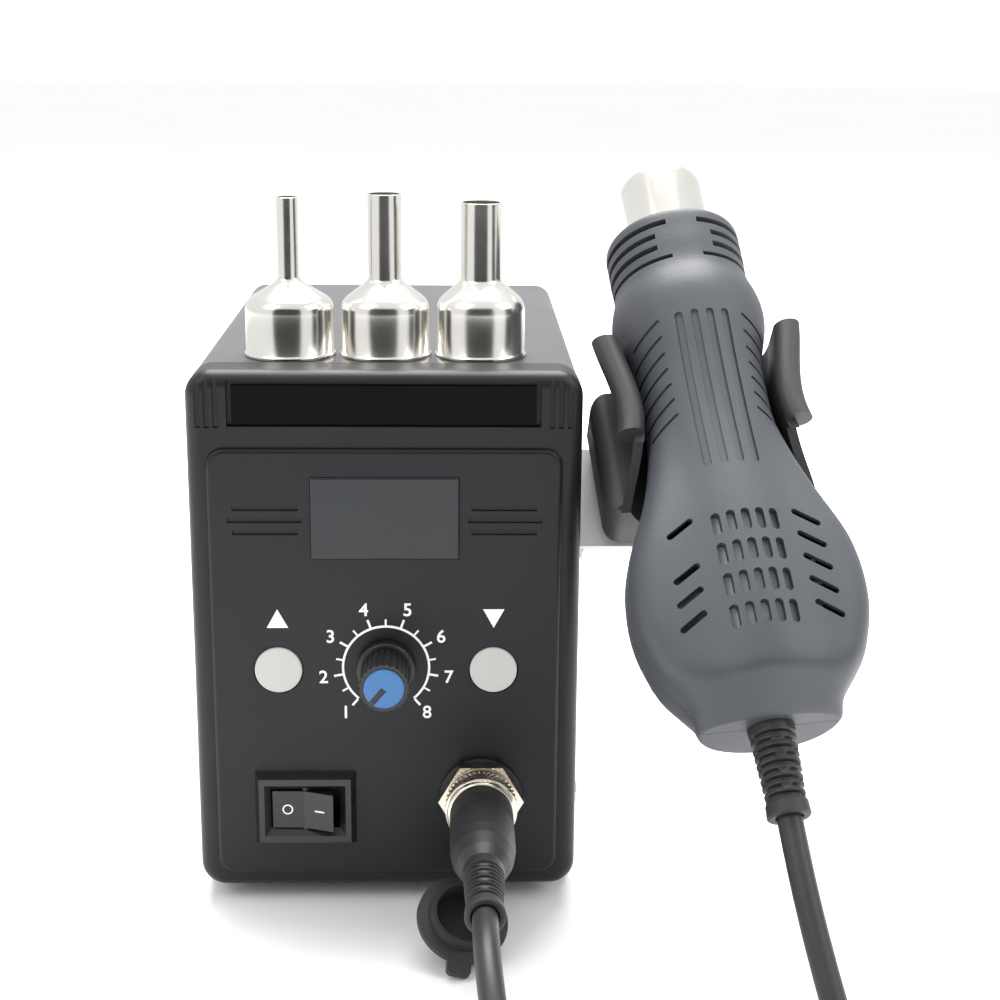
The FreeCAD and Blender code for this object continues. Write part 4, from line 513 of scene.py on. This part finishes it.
class STATION_OT_cord(PieceOperator, bpy.types.Operator):
    """Lay the cord from the handle over the desk, through its coil, and up to the plug"""

    bl_idname = "station.cord"
    bl_label = "Cord and its tie"

    def make(self, sizes, colours):
        turned, radius, height = np.array(WINDING).T
        at = np.arange(0, turned[-1], 360 / TURN_POINTS)
        angle = -np.radians(at)
        wide = np.interp(at, turned, radius) / math.cos(math.pi / TURN_POINTS / 1.6)
        coil = np.stack([COIL_CENTRE[0] + wide * np.cos(angle), COIL_CENTRE[1] + wide * np.sin(angle),
                         np.interp(at, turned, height)], axis=1)
        points = np.concatenate([HANDLE_RUN, coil, PLUG_RUN])
        curve = bpy.data.curves.new("cord_line", "CURVE")
        curve.dimensions = "3D"
        spline = curve.splines.new("NURBS")
        spline.points.add(len(points) - 1)
        spline.points.foreach_set("co", np.concatenate([points, np.ones((len(points), 1))], axis=1).ravel())
        spline.order_u = 3
        spline.use_endpoint_u = True
        spline.resolution_u = 8
        carrier = bpy.data.objects.new("cord_line", curve)
        bare = bpy.data.meshes.new_from_object(carrier)
        line = np.zeros(len(bare.vertices) * 3)
        bare.vertices.foreach_get("co", line)
        line = line.reshape(-1, 3)
        bpy.data.objects.remove(carrier)
        bpy.data.meshes.remove(bare)
        cord = piece("cord", grid_mesh("cord", tube_points(line, sizes.cord / 2)), None, "cord")
        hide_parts("cord_handle_run", "cord_coil", "cord_plug_run")
        tie = self.tie()
        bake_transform(cord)

    def tie(self):
        """A strap round the winding: its section is a superellipse, with cosine and sine raised to 0.45,
        swept a little way round the coil; its inner and outer faces are a strap's thickness apart."""
        around = np.arange(48) * TAU / 48
        wide, tall = (np.sign(value) * np.abs(value) ** 0.45 for value in (np.cos(around), np.sin(around)))
        swing = np.radians(np.linspace(-96, -84, 9))[:, None]
        layers = []
        for extra in (0.0003, 0.0011):
            reach = 0.0331 + (0.0061 + extra) * wide[None, :]
            high = 0.0062 + (0.0058 + extra * 0.4) * tall[None, :]
            layers.append(np.stack([COIL_CENTRE[0] + reach * np.cos(swing),
                                    COIL_CENTRE[1] + reach * np.sin(swing), high + 0 * swing], axis=-1))
        points = np.concatenate([layers[0], layers[1][::-1]])
        return piece("cord_tie", grid_mesh("cord_tie", points, round_rows=True), "station", "rubber")


class STATION_OT_nozzles(PieceOperator, bpy.types.Operator):
    """Spin the three slip-on nozzles that stand on the roof"""

    bl_idname = "station.nozzles"
    bl_label = "Nozzles"

    def make(self, sizes, colours):
        # One turned profile each, in millimetres: a cup that slips over the tube, a cone, and a stem.
        stems = {"small": 2.75, "medium": 4.30, "large": 5.20}
        for number, (name, stem) in enumerate(stems.items()):
            low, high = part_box("nozzle_" + name)
            tall = (high.z - low.z) / MM
            wall = sizes.nozzle_wall / MM
            outside = [(11.2, 0.0), (11.75, 0.0), (11.75, 0.8), (11.3, 1.3), (11.3, 14.0),
                       (stem + 0.35, 19.0), (stem, 20.2), (stem, tall), (stem - wall, tall)]
            inside = [(stem - wall, 20.4), (stem, 19.3), (11.3 - wall, 13.6), (11.2 - wall * 0.4, 0.6),
                      (11.2, 0.0)]
            reaches = [(outside[:4], 0.25), (outside[3:7], 2.3), (outside[6:], 0.22), (inside, 1.0)]
            profile = np.concatenate([eased(run, reach) for run, reach in reaches])

            def dents(radius, height, angle):
                """Two slow waves round the sheet, three and seven to a turn, that lean as they rise."""
                slow = 0.045 * np.sin(3 * angle + number + 0.11 * height)
                return radius + slow + 0.02 * np.sin(7 * angle - 0.35 * height + 2 * number)

            points = lathe(profile, 96, dents) * MM
            centre = ((low.x + high.x) / 2, (low.y + high.y) / 2, low.z)
            mesh = grid_mesh("nozzle", placed(points, centre, (0, 0, 1), (0, 1, 0)))
            made = piece(f"nozzle_shell_{name}", mesh, "nozzle_" + name, "bright_steel", sharp=60)
            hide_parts("nozzle_" + name)


class STATION_OT_heater(PieceOperator, bpy.types.Operator):
    """Spin the heater's outer tube with its rolled rim"""

    bl_idname = "station.heater"
    bl_label = "Heater tube"

    def make(self, sizes, colours):
        # The turned profile, in millimetres back from the rim: the inside, the lip rolled inwards, the outside.
        profile = eased([(10.5, 56.4), (10.5, 2.6), (9.3, 1.0), (9.15, 0.0), (10.3, 0.0), (11.0, 1.8),
                         (11.0, 20.2), (10.9, 20.5), (10.9, 56.4), (10.5, 56.4)], 0.9)
        profile[:, 1] += 0.02

        def dents(radius, height, angle):
            """A slow wave round the tube, three to a turn."""
            return radius + 0.02 * np.sin(3 * angle + 0.05 * height)

        points = placed(lathe(profile, 120, dents) * MM, RIM, -FORWARD, LIFT)
        mesh = grid_mesh("heater_barrel", points)
        made = piece("heater_barrel", mesh, "handle", "bright_steel", sharp=60)
        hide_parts("heater_tube")


class STATION_OT_coupling(PieceOperator, bpy.types.Operator):
    """Spin the knurled coupling ring of the plug"""

    bl_idname = "station.coupling"
    bl_label = "Coupling ring"

    def make(self, sizes, colours):
        low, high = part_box("plug_ring")
        length = (high.y - low.y) / MM
        outer = (high.x - low.x) / 2 / MM
        band = (0.9, length - 2.2)
        rows = np.linspace(band[0], band[1], 34)
        runs = [(8.32, 0.0), (outer - 0.3, 0.0), (outer, 0.3), (outer, 0.7)]
        front = [(outer, length - 2.0), (outer - 0.5, length - 1.7), (outer - 0.45, length - 0.5),
                 (outer - 0.9, length), (6.75, length), (6.75, length - 1.5), (8.32, length - 1.5),
                 (8.32, 0.0)]
        profile = np.concatenate([eased(runs, 0.15, 4), np.stack([rows * 0 + outer, rows], axis=1),
                                  eased(front, 0.2, 4)])
        depth = sizes.knurl_depth / MM

        def diamonds(radius, height, angle):
            """Two sets of crossed helical grooves, left and right handed, cut where either one is deepest."""
            lean = height * 2.9
            left = np.abs(np.sin((sizes.knurls * angle + lean) / 2))
            right = np.abs(np.sin((sizes.knurls * angle - lean) / 2))
            inside = (radius > outer - 0.01) & (height > band[0]) & (height < band[1])
            return radius - np.where(inside, depth * (1 - np.minimum(left, right)) ** 1.5 * 1.6, 0)

        points = lathe(profile, sizes.knurls * 8, diamonds) * MM
        back = (SOCKET[0], high.y, SOCKET[2])
        mesh = grid_mesh("coupling_knurl", placed(points, back, (0, -1, 0)), round_rows=True)
        made = piece("coupling_knurl", mesh, "coupling_ring", "nickel", sharp=50)
        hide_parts("plug_ring")


class STATION_OT_boots(PieceOperator, bpy.types.Operator):
    """Spin the ribbed strain reliefs at the handle and at the plug"""

    bl_idname = "station.boots"
    bl_label = "Strain reliefs"

    def make(self, sizes, colours):
        plug_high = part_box("plug_relief")[1]
        boots = [("handle_boot", "handle_relief", "handle", RIM - BOOT_AT * FORWARD, -FORWARD, LIFT,
                  22.0, 5.6, 4.7),
                 ("plug_boot", "plug_relief", "station", (SOCKET[0], plug_high.y, SOCKET[2]), (0, -1, 0),
                  (0, 0, 1), 21.0, 5.0, 4.3)]
        for name, node, body, origin, axis, up, length, start, end in boots:
            ribs = 9
            ribbed = (2.0, length - 3.6)
            rows = np.linspace(-1.5, length - 0.5, 150)
            taper = np.interp(rows, [0, ribbed[1], ribbed[1] + 0.3, length - 0.5],
                              [start, end, end + 0.3, end + 0.45])
            lead = [(0.0, -1.5), (start, -1.5)]
            tail = [(end + 0.45, length - 0.5), (end + 0.1, length), (3.25, length), (3.15, length - 3.2),
                    (0.0, length - 3.2)]
            profile = np.concatenate([lead, np.stack([taper, rows], axis=1), eased(tail, 0.3, 4)])
            pitch = (ribbed[1] - ribbed[0]) / ribs

            def rings(radius, height, angle):
                """Grooves between the ribs, a rounded cosine deep, with a bridge on alternate sides of each."""
                phase = (height - ribbed[0]) / pitch
                groove = np.clip(0.5 - 0.95 * np.cos(TAU * phase), 0, 1) * (phase > 0) * (phase < ribs)
                side = np.cos(angle + (np.floor(phase) % 2) * TAU / 4) ** 2
                bridge = np.clip((side - 0.90) / 0.05, 0, 1)
                return radius - 0.95 * groove * (1 - 0.85 * bridge) * (radius > 3.6)

            points = placed(lathe(profile, 72, rings) * MM, origin, axis, up)
            made = piece(name, grid_mesh(name, points), body, "rubber")
            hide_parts(node)


class STATION_OT_liner(PieceOperator, bpy.types.Operator):
    """Lay the pale liner under the handle's vent slots"""

    bl_idname = "station.liner"
    bl_label = "Vent liner"

    def make(self, sizes, colours):
        # Millimetres behind the rim, across, and up from the handle's axis; its back is a parabola across.
        along = np.linspace(109.0, 142.0, 24)[:, None]
        across = np.linspace(-9.2, 9.2, 21)[None, :]
        ridge = np.interp(along, [104.5, 114.5, 124.5, 135.5, 141.5], [15.8, 16.4, 16.7, 16.5, 16.1])
        high = ridge - 0.037 * across ** 2
        layers = [np.stack([across + 0 * high, 0 * high - along, high - deep], axis=-1) for deep in (0.0, 0.35)]
        ring = np.concatenate([layers[0], layers[1][:, ::-1]], axis=1)
        caps = [np.repeat(ring[end].mean(axis=0)[None, None], ring.shape[1], axis=1) for end in (0, -1)]
        points = np.concatenate([caps[0], ring, caps[1]]) * MM
        axes = np.stack([RIGHTWARDS, FORWARD, LIFT])
        piece("vent_liner", grid_mesh("vent_liner", RIM + points @ axes), "handle", "impeller_plastic")


class STATION_OT_prints(PieceOperator, bpy.types.Operator):
    """Print the arrows, the dial's ring, ticks and numbers, and the marks of the power switch"""

    bl_idname = "station.prints"
    bl_label = "Prints"

    def make(self, sizes, colours):
        arrow_wide, arrow_tall, arrow_gap = 0.0054, 0.0049, 0.0104
        meshes = []
        for name, way in (("up", 1), ("down", -1)):
            low, high = KEY_BOXES[name]
            middle = ((low.x + high.x) / 2, (low.z + high.z) / 2 + arrow_gap + 0.0033)
            outline = [(-arrow_wide / 2, -way * arrow_tall / 2), (arrow_wide / 2, -way * arrow_tall / 2),
                       (0, way * arrow_tall / 2)]
            meshes.append(flat_mesh(name, [outline], facing_front(middle[0], PANEL_Y - INK_PROUD, middle[1])))
        ring, line = sizes.dial_ring, sizes.ink_line
        marks = [arc_outline(ring, line, -DIAL_SWEEP, DIAL_SWEEP)]
        for step in range(15):
            reach, share = (0.0025, 1) if step % 2 == 0 else (0.0019, 0.8)
            marks.append(tick_outline(ring + line / 2, ring + reach, line * share, 20 * step - DIAL_SWEEP))
        at = facing_front(DIAL[0], PANEL_Y - INK_PROUD, DIAL[2])
        meshes.append(flat_mesh("dial", marks, at))
        for number in range(8):
            turn = math.radians(40 * number - DIAL_SWEEP)
            x, y = (ring + 0.0052) * math.sin(turn), (ring + 0.0052) * math.cos(turn)
            meshes.append(numeral_mesh(str(number + 1), sizes.numeral, x, y, at))
        piece("panel_print", joined("panel_print", meshes), "station", "key", "ink")
        self.rocker_marks(line)

    def rocker_marks(self, line):
        """An open ring and a bar, each lying on one slope of the rocker."""
        pivot = JOINTS["power_rock"]["pos_m"]
        rest = Matrix.Translation(pivot) @ Matrix.Rotation(math.radians(-11), 4, "Z")
        slope = math.atan2(1.4, 8.0)
        meshes = []
        half, thin = 0.0013, line * 0.35
        bar = [(-half, -thin), (half, -thin), (half, thin), (-half, thin)]
        marks = [(-0.0042, slope, [arc_outline(0.0012, line * 0.6, 0, 180, 24),
                                   arc_outline(0.0012, line * 0.6, 180, 360, 24)]), (0.0042, -slope, [bar])]
        for across, lean, outlines in marks:
            out = -0.0029 + (0.008 - abs(across)) * 1.4 / 8.0 - 0.00005
            lie = rest @ Matrix.Translation((across, out, 0)) @ Matrix.Rotation(lean, 4, "Z")
            meshes.append(flat_mesh("mark", outlines, lie @ Matrix.Rotation(math.pi / 2, 4, "X")))
        piece("rocker_print", joined("rocker_print", meshes), "power_rocker", "key", "ink")


class STATION_OT_pointer(PieceOperator, bpy.types.Operator):
    """Fill the slot in the dial's cap that points at the number"""

    bl_idname = "station.pointer"
    bl_label = "Dial pointer"

    def make(self, sizes, colours):
        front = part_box("knob_cap")[0].y
        outline = tick_outline(0.0002, 0.0048, 0.0014, -DIAL_SWEEP)
        mesh = flat_mesh("pointer", [outline], facing_front(DIAL[0], front + 0.00045, DIAL[2]), 0.0002)
        piece("dial_pointer", mesh, "air_dial", "knob")


class STATION_OT_stage(PieceOperator, bpy.types.Operator):
    """Set a pale floor, soft lights and a dim card behind the camera for the metal to reflect"""

    bl_idname = "station.stage"
    bl_label = "Stage"

    def make(self, sizes, colours):
        scene = bpy.context.scene
        scene.view_settings.view_transform = "Standard"
        world = bpy.data.worlds.new("studio")
        scene.world = world
        world.use_nodes = True
        world.node_tree.nodes["Background"].inputs["Color"].default_value = (1.0, 1.0, 1.0, 1.0)
        world.node_tree.nodes["Background"].inputs["Strength"].default_value = 1.0
        pale = finish("floor_finish", (0.975, 0.975, 0.975), 0.75, drift=0.01, spread=0.04, patch=4.0)
        dim = finish("card_finish", (0.012, 0.012, 0.013), 0.9, drift=0.02, spread=0.02, patch=4.0)
        reach = np.linspace(0, 6.0, 12)[:, None]
        angle = np.arange(48)[None, :] * TAU / 48
        disc = np.stack([reach * np.cos(angle), reach * np.sin(angle), -0.0002 + 0 * reach * angle], axis=-1)
        self.standing("floor", grid_mesh("floor", disc), pale)
        for name, centre, wide, tall in (("card_front", (-0.05, -1.35, 0.50), 1.9, 1.3),
                                         ("card_side", (1.25, -0.35, 0.40), 0.5, 0.9)):
            along = unit(np.cross((0, 0, 1), centre))
            u, v = np.meshgrid(np.linspace(-0.5, 0.5, 4), np.linspace(-0.5, 0.5, 4), indexing="ij")
            card = np.array(centre) + u[..., None] * wide * along + v[..., None] * tall * np.array([0, 0, 1])
            made = self.standing(name, grid_mesh(name, card, round_columns=False), dim)
            made.visible_camera = False
            made.visible_diffuse = False
            made.visible_shadow = False
        lamps = [("key_light", (-0.75, -0.55, 1.05), 0.7, 3.0), ("fill_light", (0.95, -0.30, 0.85), 0.6, 3.0),
                 ("top_light", (0.05, 0.45, 1.20), 0.9, 32.0)]
        for name, place, side, power in lamps:
            data = bpy.data.lights.new(name, "AREA")
            data.shape, data.size, data.energy = "SQUARE", side, power
            lamp = bpy.data.objects.new(name, data)
            aim = (Vector((0.03, -0.06, 0.08)) - Vector(place)).to_track_quat("-Z", "Y")
            lamp.matrix_world = Matrix.Translation(place) @ aim.to_matrix().to_4x4()
            scene.collection.objects.link(lamp)

    def standing(self, name, mesh, material):
        """A floor or card that isn't part of the station."""
        made = bpy.data.objects.new(name, mesh)
        mesh.materials.append(material)
        bpy.context.scene.collection.objects.link(made)
        return made


OPERATORS = (STATION_OT_camera, STATION_OT_finishes, STATION_OT_cord, STATION_OT_nozzles, STATION_OT_heater,
             STATION_OT_coupling, STATION_OT_boots, STATION_OT_liner, STATION_OT_prints, STATION_OT_pointer,
             STATION_OT_stage)


class STATION_PT_panel(bpy.types.Panel):
    """Lists the station's pieces and the sizes and colours behind them"""

    bl_label = "Hot Air Station"
    bl_idname = "STATION_PT_panel"
    bl_space_type = "VIEW_3D"
    bl_region_type = "UI"
    bl_category = "Hot Air Station"

    def draw(self, context):
        for operator in OPERATORS:
            self.layout.operator(operator.bl_idname)
        for group in (context.scene.station_sizes, context.scene.station_colours):
            for name in group.__annotations__:
                self.layout.prop(group, name)


CLASSES = (StationSizes, StationColours) + OPERATORS + (STATION_PT_panel,)


def register():
    """Makes the classes and the two groups of settings known to Blender."""
    for item in CLASSES:
        bpy.utils.register_class(item)
    bpy.types.Scene.station_sizes = PointerProperty(type=StationSizes)
    bpy.types.Scene.station_colours = PointerProperty(type=StationColours)


def unregister():
    """Undoes register, in the opposite order."""
    del bpy.types.Scene.station_colours
    del bpy.types.Scene.station_sizes
    for item in reversed(CLASSES):
        bpy.utils.unregister_class(item)


def main():
    """Makes every piece."""
    register()
    for operator in OPERATORS:
        group, name = operator.bl_idname.split(".")
        getattr(getattr(bpy.ops, group), name)()


if __name__ == "__main__":
    main()
